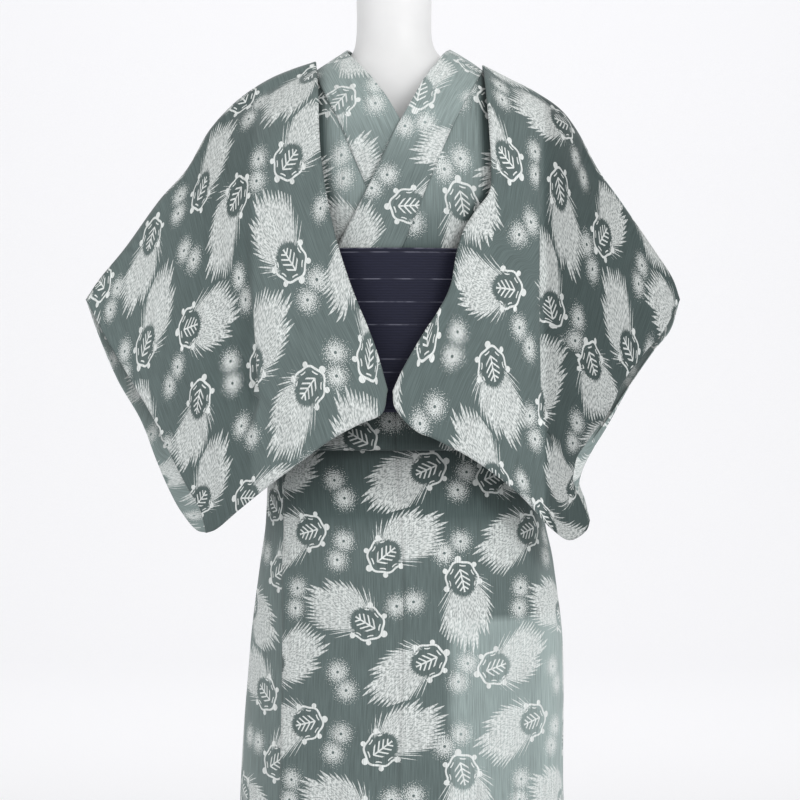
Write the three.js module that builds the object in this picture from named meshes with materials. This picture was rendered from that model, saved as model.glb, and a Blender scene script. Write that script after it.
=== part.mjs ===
// A summer kimono with its half-width belt, worn by a limbless dress form on a pole stand.
// Millimetres. +Z is up, -Y is the front and +X is the viewer's right.
// The origin is the centre of the stand's underside. Left and right in the names are the wearer's.
import * as THREE from 'three';

// Driving dimensions of the cloth
const WALL = 1.2; // body cloth, sleeves and belt
const COLLAR_WALL = 2.0; // the collar is folded double
const COLLAR_COLUMNS = 3;
const SEAM_GAP = 0.35; // between two pieces that are sewn together
const HEM_HEIGHT = 45;
const CORD_HEIGHT = 995; // where the waist cord ties the skirt, under the belt
const TUCK_HEIGHT = 889; // lower fold of the waist tuck
const CHEST_HEIGHT = 1110; // top edge of the flat-wrapped part, just under the belt's edge
const ARMHOLE_BOTTOM = 1055;
const SHOULDER_CAP = 100; // height over which the front rounds over into the back
const LAYER_STEP = 3; // between two layers of cloth that lie on each other

// Driving dimensions of the belt
const BELT_WIDTH = 182;
const BELT_TOP = 1121;
const BELT_TURNS = 2.12;
const BELT_TURN_DROP = 4.5; // each turn lies this much lower
const BELT_TURN_STEP = 2.4; // and this much further out
const BELT_FLARE_TOP = 1118; // above this height the belt stands straight
const BELT_REST = 9.9; // out from the figure where one front lies under the belt
const BELT_REST_FRONT = 20.4; // and where both fronts and the collar do

// Driving dimensions of the dress form and its stand
const FORM_BOTTOM = 700;
const POLE_RADIUS = 16;
const BASE_RADIUS = 165;
const BASE_THICKNESS = 12;

// Outline of the wrapped cloth: half width and half depth at each height, and the middle's x
const FIGURE = [
  { z: HEM_HEIGHT, halfWidth: 188, halfDepth: 150, middle: 4 },
  { z: 300, halfWidth: 192, halfDepth: 149, middle: 3 },
  { z: 500, halfWidth: 189, halfDepth: 144, middle: 3 },
  { z: 663, halfWidth: 183.5, halfDepth: 138, middle: 8 },
  { z: 757, halfWidth: 172, halfDepth: 130, middle: 8 },
  { z: 800, halfWidth: 164, halfDepth: 126, middle: 6 },
  { z: 890, halfWidth: 154, halfDepth: 118, middle: 0 },
  { z: 940, halfWidth: 148, halfDepth: 111, middle: 0 },
  { z: 1030, halfWidth: 145, halfDepth: 106, middle: 0 },
  { z: 1110, halfWidth: 150, halfDepth: 106, middle: 0 },
  { z: 1160, halfWidth: 178, halfDepth: 107, middle: 0 },
  { z: 1200, halfWidth: 205, halfDepth: 107, middle: 0 },
  { z: 1250, halfWidth: 214, halfDepth: 104, middle: 0 },
  { z: 1380, halfWidth: 214, halfDepth: 100, middle: 0 },
];

// Shoulder line seen from the front: its height at each distance from the middle
const SHOULDER = [
  { x: 0, z: 1376 }, { x: 60, z: 1355 }, { x: 105, z: 1329 }, { x: 150, z: 1307 },
  { x: 190, z: 1278 }, { x: 214, z: 1250 },
];

// Layers of the wrapped cloth: how far each one lies out from the figure, where one front
// lies alone, and where the two fronts overlap
const LAYERS = [
  { name: 'skirt', alone: 0, under: 0, over: 1 },
  { name: 'tuck', alone: 1, under: 3, over: 2 },
  { name: 'bodice', alone: 2, under: 4, over: 5.6 },
];
const FOLD_CLEARANCE = 4.5; // the under front's folds lie this much higher, round the over front's

// Rows of a body panel from the hem up: the height and the layer, where a half is a fold
const PANEL_ROWS = [
  { z: HEM_HEIGHT, layer: 0 }, { z: 130, layer: 0 }, { z: 230, layer: 0 }, { z: 330, layer: 0 },
  { z: 430, layer: 0 }, { z: 530, layer: 0 }, { z: 620, layer: 0 }, { z: 700, layer: 0 },
  { z: 770, layer: 0 }, { z: 835, layer: 0 }, { z: 895, layer: 0 }, { z: 945, layer: 0 },
  { z: CORD_HEIGHT, layer: 0, fold: 1 }, { z: CORD_HEIGHT + 2, layer: 0.5, fold: 1 },
  { z: CORD_HEIGHT, layer: 1, fold: 1 }, { z: 940, layer: 1 },
  { z: TUCK_HEIGHT + 2, layer: 1, fold: 1 }, { z: TUCK_HEIGHT, layer: 1.5, fold: 1 },
  { z: TUCK_HEIGHT + 2, layer: 2, fold: 1 }, { z: 935, layer: 2 }, { z: 995, layer: 2 },
  { z: ARMHOLE_BOTTOM, layer: 2 }, { z: CHEST_HEIGHT, layer: 2 },
];

// Rows from the chest to the shoulder line, as fractions of the way up
const BODICE_ROWS = [0.17, 0.34, 0.5, 0.64, 0.74, 0.82, 0.89, 0.95, 1];

// Side seam: angle round the figure from the front's middle, in degrees
const SIDE_SEAM = [
  { z: HEM_HEIGHT, angle: 80 }, { z: 890, angle: 86 }, { z: 1055, angle: 90 }, { z: 1400, angle: 90 },
];
const ARMHOLE_ANGLE = 6; // half of the armhole's opening, in degrees

// Free edge of each front overlap: angle past the front's middle, in degrees
const OVERLAP_EDGE = [
  { z: HEM_HEIGHT, angle: 47 }, { z: 500, angle: 47 }, { z: 663, angle: 50 }, { z: 757, angle: 55 },
  { z: 890, angle: 60 }, { z: 1000, angle: 57 },
];
const OVERLAP_TOP = 1040;
const SKIRT_INNER_ANGLE = 1.5; // the front panels' inner edges, past the middle

// Collar on each front: x of its seam and its width, at each fraction of the way up the bodice.
// It is folded wider down the front than at the neck.
const COLLAR_FRONT = {
  over: [
    { way: -0.18, x: -27, width: 66 }, { way: 0, x: -4, width: 65 }, { way: 0.17, x: 15, width: 61 },
    { way: 0.34, x: 32, width: 58 }, { way: 0.5, x: 48, width: 56 }, { way: 0.64, x: 62, width: 53 },
    { way: 0.74, x: 72, width: 52 }, { way: 0.82, x: 80.5, width: 51 }, { way: 0.89, x: 87, width: 49 },
    { way: 0.95, x: 92.5, width: 48 }, { way: 1, x: 97, width: 46 },
  ],
  under: [
    { way: -0.18, x: -17, width: 68 }, { way: 0, x: 2, width: 67 }, { way: 0.17, x: 20, width: 67 },
    { way: 0.34, x: 39, width: 66 }, { way: 0.5, x: 55, width: 64 }, { way: 0.64, x: 68, width: 60 },
    { way: 0.74, x: 78, width: 56 }, { way: 0.82, x: 86, width: 53 }, { way: 0.89, x: 92, width: 50 },
    { way: 0.95, x: 97, width: 47 }, { way: 1, x: 101, width: 45 },
  ],
};
// Neck edge of the back panels, from the middle of the back to the shoulder line, and the
// collar's free edge above it, which stands away from the neck
const BACK_NECK = [
  { x: 0, way: 0.74, edgeX: 0, edgeY: 82, edgeZ: 1351 },
  { x: 42, way: 0.82, edgeX: 34, edgeY: 71, edgeZ: 1354 },
  { x: 66, way: 0.89, edgeX: 50, edgeY: 50, edgeZ: 1357 },
  { x: 84, way: 0.95, edgeX: 57, edgeY: 26, edgeZ: 1359 },
];

// Sleeves: their edges as places in space. The top is the fold from the collar's side over the
// shoulder to the wrist, inner is the rounded fold before the chest, and the back has its own
// wrist edge, which reaches further out than the front's.
const ARMHOLE_GAP = 3; // at the curved seam between a sleeve and the back
const SLEEVE_SEAM = 2.4; // between the front and the back at the lower seam
const SLEEVE_BELLY = 12; // how far each side swells between its edges
const SLEEVE_ROOM = 7; // between a sleeve's front and the body at the shoulder
const SLEEVE_CHEST_ROOM = 11; // and this much more before the chest
const SHOULDER_COLUMNS = 5;
const WING_COLUMNS = 9;
const FOLD_SPREAD = 0.03; // between the columns that gather at the upright fold
const SLEEVE_ROWS = [0, 0.02, 0.06, 0.12, 0.2, 0.3, 0.42, 0.54, 0.66, 0.78, 0.89, 1];
const SHOULDER_LAP = [0, 12, 27]; // how far the fold's top reaches behind the shoulder line
// The strip turned back behind the inner fold: its width and its room at each share of the
// way down, and its columns as shares of both
const TURN_BACK = [
  { down: 0, width: 12, room: 3.6 }, { down: 0.12, width: 38, room: 7 }, { down: 0.4, width: 60, room: 10 },
  { down: 0.8, width: 30, room: 8 }, { down: 1, width: 12, room: 5 },
];
const TURN_BACK_ROOM = 3.4; // between the strip and the body, at least
const TURN_BACK_COLUMNS = [
  { reach: 1, depth: 1 }, { reach: 0.5, depth: 1 }, { reach: 0.1, depth: 0.8 }, { reach: -0.04, depth: 0.4 },
];
const SLEEVES = {
  right: {
    shoulderShare: 0.3,
    top: [
      [-100, -1, 1345], [-130, 0, 1335], [-156, 0, 1323.5], [-191, 0, 1300], [-224, -3, 1264.5],
      [-251, -8, 1217], [-281, -16, 1182], [-322, -27, 1123], [-350, -35, 1087.5], [-366, -40, 1063],
    ],
    inner: [
      [-100, -1, 1345], [-97, -60, 1305], [-93, -112, 1225], [-84, -132, 1167], [-71, -145, 1116],
      [-51, -152, 1059.5], [-36, -157, 1024.5], [-25, -160, 995], [-14, -161, 957],
    ],
    bottom: [
      [-14, -161, 957], [-20, -161, 931], [-45, -160, 919], [-78, -157, 901], [-112, -150, 876],
      [-147, -138, 850], [-183, -114, 821], [-212, -89, 797], [-223, -80, 793],
    ],
    cuffFront: [
      [-366, -40, 1063], [-338, -50, 1012], [-310, -57, 966], [-286, -63, 926], [-268, -69, 889],
      [-247, -75, 849], [-230, -79, 820], [-223, -80, 793],
    ],
    cuffBack: [
      [-366, -40, 1063], [-354, -36, 1027.5], [-329, -38, 969], [-302, -43, 923], [-283, -49, 876],
      [-268, -51, 842], [-255, -57, 819], [-235, -69, 796], [-223, -77.6, 793.5],
    ],
    freeEdge: [
      [-166, 8, 1055], [-170, -25, 1020], [-154, -92, 995], [-100, -136, 975], [-14, -158.6, 957.5],
    ],
    foldShare: 0.36,
    foldWidth: 24,
    fold: [
      { z: 840, x: 176, depth: 0 }, { z: 885, x: 172, depth: 4 }, { z: 945, x: 166, depth: 11 },
      { z: 1010, x: 166, depth: 10 }, { z: 1100, x: 170, depth: 3 }, { z: 1180, x: 174, depth: 0 },
    ],
  },
  left: {
    shoulderShare: 0.3,
    top: [
      [98, -1, 1341], [129, 0, 1325], [155, 0, 1312], [189, 0, 1289], [208, -2, 1264.5],
      [233, -8, 1217], [257, -16, 1182], [296, -27, 1123], [318, -35, 1087.5], [326, -40, 1063],
    ],
    inner: [
      [98, -1, 1341], [96, -58, 1305], [96, -98, 1255], [98, -118, 1205], [88, -134, 1155],
      [69, -145, 1112], [58, -152, 1073], [44, -156, 1045], [29, -160, 1023], [2, -166, 977],
      [-8, -167, 955],
    ],
    bottom: [
      [-8, -167, 955], [-6, -167, 938], [18, -163, 911], [37, -160, 903], [83, -150, 878.5],
      [134, -135, 840], [174, -118, 798], [194, -106, 786], [214, -92, 797], [218, -88, 808],
    ],
    cuffFront: [
      [326, -40, 1063], [306, -50, 1026], [283, -57, 1000], [259, -62, 968], [243, -66, 935],
      [222, -71, 905], [206, -76, 877], [200, -82, 854], [208, -86, 831], [218, -88, 808],
    ],
    cuffBack: [
      [326, -40, 1063], [315, -38, 1027.5], [296, -41, 1004], [271, -46, 969], [240, -54, 923],
      [223, -60, 900], [211, -66, 877], [206, -72, 854], [213, -80, 831], [218, -85.6, 808.5],
    ],
    freeEdge: [
      [166, 8, 1055], [170, -25, 1020], [154, -92, 995], [100, -138, 975], [-8, -164.6, 955.5],
    ],
    foldShare: 0.36,
    foldWidth: 9,
    fold: [
      { z: 830, x: 206, depth: 1 }, { z: 870, x: 190, depth: 4 }, { z: 910, x: 168, depth: 11 },
      { z: 1000, x: 162, depth: 16 }, { z: 1120, x: 163, depth: 13 }, { z: 1220, x: 166, depth: 6 },
      { z: 1270, x: 168, depth: 0 },
    ],
  },
};

// Dress form from its bottom up: ellipses, the shoulders just under the cloth, and the neck
const FORM = [
  { z: 700, halfWidth: 140, halfDepth: 100, x: 3, y: 0 },
  { z: 708, halfWidth: 152, halfDepth: 112, x: 3, y: 0 },
  { z: 740, halfWidth: 158, halfDepth: 118, x: 3, y: 0 },
  { z: 800, halfWidth: 154, halfDepth: 116, x: 2, y: 0 },
  { z: 890, halfWidth: 144, halfDepth: 108, x: 0, y: 0 },
  { z: 940, halfWidth: 139, halfDepth: 102, x: 0, y: 0 },
  { z: 1030, halfWidth: 136, halfDepth: 97, x: 0, y: 0 },
  { z: 1110, halfWidth: 141, halfDepth: 98, x: 0, y: 0 },
  { z: 1160, halfWidth: 160, halfDepth: 98, x: 0, y: 0 },
  { z: 1200, halfWidth: 178, halfDepth: 95, x: 0, y: 0 },
  { z: 1235, halfWidth: 184, halfDepth: 88, x: 0, y: 0 },
  { z: 1262, halfWidth: 180, halfDepth: 78, x: 0, y: 0 },
  { z: 1283, halfWidth: 168, halfDepth: 70, x: 0, y: 0 },
  { z: 1300, halfWidth: 150, halfDepth: 64, x: 0, y: 0 },
  { z: 1316, halfWidth: 125, halfDepth: 57, x: 0, y: 0 },
  { z: 1330, halfWidth: 95, halfDepth: 52, x: -1, y: 2 },
  { z: 1343, halfWidth: 64, halfDepth: 48, x: -4, y: 4 },
  { z: 1356, halfWidth: 50, halfDepth: 46, x: -6, y: 6 },
  { z: 1372, halfWidth: 45, halfDepth: 45, x: -7, y: 8 },
  { z: 1395, halfWidth: 44, halfDepth: 44, x: -7, y: 8 },
  { z: 1425, halfWidth: 44, halfDepth: 44, x: -7, y: 8 },
  { z: 1442, halfWidth: 40, halfDepth: 40, x: -7, y: 8 },
  { z: 1450, halfWidth: 28, halfDepth: 28, x: -7, y: 8 },
];

// Value of a table's column at a place between its rows, with smooth or straight steps
function lookUp(table, key, place, column, smooth = true) {
  const last = table.length - 1;
  if (place <= table[0][key]) return table[0][column];
  if (place >= table[last][key]) return table[last][column];
  let row = 0;
  while (table[row + 1][key] < place) row += 1;
  const low = table[row];
  const high = table[row + 1];
  const span = high[key] - low[key];
  const t = (place - low[key]) / span;
  if (!smooth) return low[column] + (high[column] - low[column]) * t;
  const before = table[Math.max(row - 1, 0)];
  const after = table[Math.min(row + 2, last)];
  const slopeLow = (high[column] - before[column]) / (high[key] - before[key]);
  const slopeHigh = (after[column] - low[column]) / (after[key] - low[key]);
  const t2 = t * t;
  const t3 = t2 * t;
  return (2 * t3 - 3 * t2 + 1) * low[column] + (t3 - 2 * t2 + t) * span * slopeLow
    + (3 * t2 - 2 * t3) * high[column] + (t3 - t2) * span * slopeHigh;
}

const radians = (degrees) => THREE.MathUtils.degToRad(degrees);
const shoulderHeight = (x) => lookUp(SHOULDER, 'x', Math.abs(x), 'z');
const smoothStep = (value, low, high) => THREE.MathUtils.smoothstep(value, low, high);

// Point on the figure at a height, an angle from the front's middle towards side (+1 is +X)
function figurePoint(z, angle, side, out) {
  const a = lookUp(FIGURE, 'z', z, 'halfWidth') + out;
  const b = lookUp(FIGURE, 'z', z, 'halfDepth') + out;
  const middle = lookUp(FIGURE, 'z', z, 'middle');
  return new THREE.Vector3(middle + side * a * Math.sin(radians(angle)), -b * Math.cos(radians(angle)), z);
}

// Depth of the bodice in front of (or behind) the figure's middle plane at x and z
function bodiceDepth(x, z, out) {
  const top = shoulderHeight(x);
  const capStart = top - SHOULDER_CAP;
  const a = lookUp(FIGURE, 'z', z, 'halfWidth') + out;
  const b = lookUp(FIGURE, 'z', Math.min(z, capStart), 'halfDepth') + out;
  const round = Math.sqrt(Math.max(0, 1 - (x / a) ** 2));
  const rise = THREE.MathUtils.clamp((z - capStart) / SHOULDER_CAP, 0, 1);
  return b * round * Math.sqrt(1 - rise * rise);
}

// How far a layer lies out: place is over, under or alone; overlap is 0 to 1 across the front
function layerOut(layer, place, overlap) {
  const low = LAYERS[Math.floor(layer)];
  const high = LAYERS[Math.ceil(layer)];
  const alone = (low.alone + high.alone) / 2;
  const shared = (low[place] + high[place]) / 2;
  return LAYER_STEP * (alone + (shared - alone) * overlap);
}

const overlapWeight = (angle) => 1 - smoothStep(Math.abs(angle), 62, 84);

// Point of a wrapped panel on one of its rows, at an angle from the front's middle
function wrapPoint({ z, layer, fold = 0 }, angle, side, place) {
  const overlap = overlapWeight(angle);
  const lift = place === 'under' ? fold * FOLD_CLEARANCE * overlap : 0;
  const point = figurePoint(z, angle, side, layerOut(layer, place, overlap));
  point.z += lift;
  return point;
}

// One wall of cloth from grids of points that share edges. Each grid is an array of rows.
// Shared points are joined, the wall is laid half to each side, and its edges are closed.
function clothWall(grids, wall) {
  const points = [];
  const index = new Map();
  const keep = (p) => {
    const key = [p.x, p.y, p.z].map((value) => Math.round(value * 100)).join(',');
    if (!index.has(key)) {
      index.set(key, points.length);
      points.push(p.clone());
    }
    return index.get(key);
  };
  const faces = [];
  for (const grid of grids) {
    const ids = grid.map((row) => row.map(keep));
    for (let j = 0; j + 1 < ids.length; j += 1) {
      for (let i = 0; i + 1 < ids[j].length; i += 1) {
        const [a, b, c, d] = [ids[j][i], ids[j][i + 1], ids[j + 1][i + 1], ids[j + 1][i]];
        if (a !== b && b !== c && c !== a) faces.push([a, b, c]);
        if (a !== c && c !== d && d !== a) faces.push([a, c, d]);
      }
    }
  }
  const normals = points.map(() => new THREE.Vector3());
  const edges = new Set();
  for (const [a, b, c] of faces) {
    const normal = points[b].clone().sub(points[a]).cross(points[c].clone().sub(points[a]));
    for (const id of [a, b, c]) normals[id].add(normal);
    edges.add(`${a},${b}`).add(`${b},${c}`).add(`${c},${a}`);
  }
  const count = points.length;
  const position = new Float32Array(count * 6);
  points.forEach((p, id) => {
    const normal = normals[id].normalize().multiplyScalar(wall / 2);
    p.clone().add(normal).toArray(position, id * 3);
    p.clone().sub(normal).toArray(position, (id + count) * 3);
  });
  const triangles = [];
  for (const [a, b, c] of faces) triangles.push(a, b, c, a + count, c + count, b + count);
  for (const edge of edges) {
    const [a, b] = edge.split(',').map(Number);
    if (edges.has(`${b},${a}`)) continue;
    triangles.push(b, a, a + count, b, a + count, b + count);
  }
  const geometry = new THREE.BufferGeometry();
  geometry.setAttribute('position', new THREE.BufferAttribute(position, 3));
  geometry.setIndex(triangles);
  geometry.computeVertexNormals();
  return geometry;
}

// More room between the two fronts where they cross, fading out at both ends of the bodice
const chestLift = (way, out) => 0.2 * out * smoothStep(way, 0, 0.3) * (1 - smoothStep(way, 0.8, 1));

// Point of the bodice at a fraction of the way from the chest to the shoulder line
function bodicePoint(x, way, face, side, layerOffset) {
  const z = CHEST_HEIGHT + (shoulderHeight(x) - CHEST_HEIGHT) * way;
  const out = layerOffset * (1 - way * way);
  const depth = bodiceDepth(x, z, out) + chestLift(way, layerOffset);
  return new THREE.Vector3(side * x, face * depth, z);
}

// One front panel. Its columns run from the inner edge to the side seam or armhole.
function frontPanel(side, place, columns) {
  const rows = [];
  for (const station of PANEL_ROWS) {
    const { z } = station;
    const opening = ARMHOLE_ANGLE * smoothStep(z, ARMHOLE_BOTTOM, CHEST_HEIGHT);
    const outer = lookUp(SIDE_SEAM, 'z', z, 'angle') - opening;
    const chest = smoothStep(z, ARMHOLE_BOTTOM, CHEST_HEIGHT);
    const inner = -SKIRT_INNER_ANGLE * (1 - chest) + chest * innerChestAngle(place);
    const row = [];
    for (let i = 0; i <= columns; i += 1) {
      const angle = inner + (outer - inner) * (i / columns);
      row.push(wrapPoint(station, angle, side, place));
    }
    rows.push(row);
  }
  const chestHalf = lookUp(FIGURE, 'z', CHEST_HEIGHT, 'halfWidth');
  const edgeAngle = radians(90 - ARMHOLE_ANGLE);
  for (const way of BODICE_ROWS) {
    const inner = lookUp(COLLAR_FRONT[place], 'way', way, 'x');
    const outer = armholeX(way);
    const row = [];
    for (let i = 0; i <= columns; i += 1) {
      const start = chestHalf * Math.sin(edgeAngle * (i / columns));
      const share = start / (chestHalf * Math.sin(edgeAngle));
      const x = inner + (outer - inner) * (share + (i / columns - share) * way);
      const offset = layerOut(2, place, overlapWeight(90 * (i / columns)));
      row.push(bodicePoint(x, way, -1, side, offset));
    }
    rows.push(row);
  }
  return rows;
}

// Angle of a front panel's inner edge at chest height, where the collar seam starts
function innerChestAngle(place) {
  const a = lookUp(FIGURE, 'z', CHEST_HEIGHT, 'halfWidth');
  return THREE.MathUtils.radToDeg(Math.asin(lookUp(COLLAR_FRONT[place], 'way', 0, 'x') / a));
}

// Distance of the armhole's edge from the middle, at a fraction of the way up the bodice
function armholeX(way) {
  const z = CHEST_HEIGHT + (SHOULDER[SHOULDER.length - 1].z - CHEST_HEIGHT) * way;
  const out = layerOut(2, 'alone', 0) * (1 - way * way);
  return (lookUp(FIGURE, 'z', z, 'halfWidth') + out) * Math.cos(radians(ARMHOLE_ANGLE));
}

// Distance of the back panels' neck edge from the middle, at a fraction of the way up
function backNeckX(way, side) {
  const shoulder = lookUp(COLLAR_FRONT[side > 0 ? 'over' : 'under'], 'way', 1, 'x');
  return lookUp([...BACK_NECK, { x: shoulder, way: 1 }], 'way', way, 'x', false);
}

// One back panel. Its columns run from the side seam or armhole to the middle of the back.
function backPanel(side, columns) {
  const rows = [];
  const seam = THREE.MathUtils.radToDeg(SEAM_GAP / 2 / FIGURE[0].halfWidth);
  for (const station of PANEL_ROWS) {
    const { z } = station;
    const opening = ARMHOLE_ANGLE * smoothStep(z, ARMHOLE_BOTTOM, CHEST_HEIGHT);
    const outer = lookUp(SIDE_SEAM, 'z', z, 'angle') + opening;
    const row = [];
    for (let i = 0; i <= columns; i += 1) {
      const angle = outer + (180 - 2 * seam - outer) * (i / columns);
      row.push(wrapPoint(station, angle, side, 'alone'));
    }
    rows.push(row);
  }
  for (const way of BODICE_ROWS) {
    const inner = backNeckX(way, side) + SEAM_GAP / 2;
    const outer = armholeX(way);
    const row = [];
    for (let i = 0; i <= columns; i += 1) {
      const round = Math.cos(Math.PI / 2 * (i / columns));
      const share = round + ((1 - i / columns) - round) * way;
      row.push(bodicePoint(inner + (outer - inner) * share, way, 1, side, layerOut(2, 'alone', 0)));
    }
    rows.push(row);
  }
  return rows;
}

// Body length: front and back in one cloth, joined at the side seam and over the shoulder
function bodyCloth(side, place) {
  const front = frontPanel(side, place, 8);
  const back = backPanel(side, 8);
  const last = front.length - 1;
  front[last].forEach((point, i) => back[last][8 - i].copy(point));
  const grids = side > 0 ? [front, back] : [front.map(flip), back.map(flip)];
  return clothWall(grids, WALL);
}

const flip = (row) => row.slice().reverse();

// Front overlap: a strip beyond the front panel's inner edge, over the skirt, tuck and chest
function overlapCloth(side, place) {
  const columns = 5;
  const rows = PANEL_ROWS.filter(({ z }) => z <= OVERLAP_TOP).map((station) => {
    const { z } = station;
    const free = lookUp(OVERLAP_EDGE, 'z', z, 'angle');
    const gap = THREE.MathUtils.radToDeg(SEAM_GAP / lookUp(FIGURE, 'z', z, 'halfDepth'));
    const row = [];
    for (let i = 0; i <= columns; i += 1) {
      const angle = -SKIRT_INNER_ANGLE - gap + (gap + SKIRT_INNER_ANGLE - free) * (i / columns);
      row.push(wrapPoint(station, angle, side, place));
    }
    return row;
  });
  return clothWall(side > 0 ? [rows.map(flip)] : [rows], WALL);
}

// Collar: rows of points from its seam to its free edge, from the right front round the neck
// to the left front
function collarRows() {
  const shares = Array.from({ length: COLLAR_COLUMNS + 1 }, (_, i) => i / COLLAR_COLUMNS);
  const front = (side, place) => COLLAR_FRONT[place].map(({ way, x, width }, row) => {
    const table = COLLAR_FRONT[place];
    const before = collarXZ(table[Math.max(row - 1, 0)]);
    const after = collarXZ(table[Math.min(row + 1, table.length - 1)]);
    const along = after.sub(before).normalize();
    const seam = collarXZ({ way, x }).sub(new THREE.Vector2(along.y, -along.x).multiplyScalar(2 * SEAM_GAP));
    const edge = new THREE.Vector2(seam.x - along.y * width, seam.y + along.x * width);
    const out = layerOut(2, place, 1);
    return shares.map((share) => {
      const { x: across, y: z } = seam.clone().lerp(edge, share);
      const depth = bodiceDepth(across, z, out * (1 - way * way)) + chestLift(way, out);
      return new THREE.Vector3(side * across, -depth - 2 * share * smoothStep(way, 0.5, 1), z);
    });
  });
  const back = (side) => BACK_NECK.map(({ x, way, edgeX, edgeY, edgeZ }) => {
    const seam = bodicePoint(x, way, 1, side, layerOut(2, 'alone', 0));
    seam.y -= 2 * SEAM_GAP;
    seam.z += 2 * SEAM_GAP;
    return shares.map((share) => seam.clone().lerp(new THREE.Vector3(side * edgeX, edgeY, edgeZ), share));
  });
  return [...front(-1, 'under'), ...back(-1).reverse(), ...back(1).slice(1), ...front(1, 'over').reverse()];
}

function collarXZ({ way, x }) {
  return new THREE.Vector2(x, CHEST_HEIGHT + (shoulderHeight(x) - CHEST_HEIGHT) * way);
}

const collarCloth = () => clothWall([collarRows()], COLLAR_WALL);

// Smooth curve through a table of places, read by its share of the length
function tableCurve(table) {
  return new THREE.CatmullRomCurve3(table.map(([x, y, z]) => new THREE.Vector3(x, y, z)), false, 'centripetal');
}

// Point of the smooth patch between four boundary curves, at shares across and down
function patchPoint({ top, bottom, inner, outer }, across, down) {
  const point = new THREE.Vector3();
  point.addScaledVector(top.getPointAt(across), 1 - down).addScaledVector(bottom.getPointAt(across), down);
  point.addScaledVector(inner.getPointAt(down), 1 - across).addScaledVector(outer.getPointAt(down), across);
  point.addScaledVector(top.getPointAt(0), -(1 - across) * (1 - down));
  point.addScaledVector(top.getPointAt(1), -across * (1 - down));
  point.addScaledVector(bottom.getPointAt(0), -(1 - across) * down);
  point.addScaledVector(bottom.getPointAt(1), -across * down);
  return point;
}

// Depth of the dressed body in front of its middle plane: bodice above, belt and skirt below
function dressedDepth(x, z) {
  if (z > BELT_TOP) {
    const way = Math.min((z - CHEST_HEIGHT) / (shoulderHeight(x) - CHEST_HEIGHT), 1);
    const out = layerOut(2, 'over', 1);
    return bodiceDepth(x, z, 0) + out * (1 - way * way) + chestLift(way, out);
  }
  const out = BELT_REST_FRONT + BELT_TURNS * BELT_TURN_STEP;
  const a = lookUp(FIGURE, 'z', z, 'halfWidth') + BELT_REST + BELT_TURNS * BELT_TURN_STEP;
  const b = lookUp(FIGURE, 'z', z, 'halfDepth') + out;
  return b * Math.sqrt(Math.max(0, 1 - (x / a) ** 2));
}

// How much longer a gap is measured along Y than square to the cloth, near the shoulder line
function shoulderSlant({ x, z }) {
  const rise = THREE.MathUtils.clamp(1 - (shoulderHeight(x) - z) / SHOULDER_CAP, 0, 1);
  return 1 / Math.max(0.5, Math.sqrt(1 - rise * rise));
}

// The larger of two depths, rounded over where they are close
const roundedMax = (a, b, reach = 12) => (a + b + Math.sqrt((a - b) ** 2 + reach * reach)) / 2;

// Shares across a sleeve's front at one height down it: the columns gather at the upright fold
function frontShares(front, shape, down) {
  const { shoulderShare, foldShare } = shape;
  let fold = foldShare;
  if (down > 0.1 && down < 1) {
    let low = 0.15;
    let high = 0.9;
    for (let step = 0; step < 14; step += 1) {
      const middle = (low + high) / 2;
      const point = patchPoint(front, middle, down);
      const beyond = Math.abs(point.x) > lookUp(shape.fold, 'z', point.z, 'x');
      if (beyond) high = middle;
      else low = middle;
    }
    fold += (low - fold) * smoothStep(down, 0.1, 0.3);
  }
  if (down === 1) fold = 0.8;
  const blend = smoothStep(down, 0, 0.25);
  const near = FOLD_SPREAD;
  const shares = [];
  for (let i = 0; i <= SHOULDER_COLUMNS; i += 1) {
    const start = shoulderShare + (Math.max(fold - 2 * near, 0) - shoulderShare) * blend;
    shares.push(start * (i / SHOULDER_COLUMNS));
  }
  shares.push(fold - near, fold, fold + near);
  const rest = WING_COLUMNS - 3;
  for (let i = 1; i <= rest; i += 1) shares.push(fold + near + (1 - fold - near) * (i / rest));
  return shares;
}

// How far a sleeve's front steps back beyond its upright fold
function foldStep(shape, point) {
  const beyond = Math.abs(point.x) - lookUp(shape.fold, 'z', point.z, 'x');
  const depth = lookUp(shape.fold, 'z', point.z, 'depth');
  return depth * smoothStep(beyond, -3, shape.foldWidth) * (1 - smoothStep(beyond, 30, 130));
}

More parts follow.
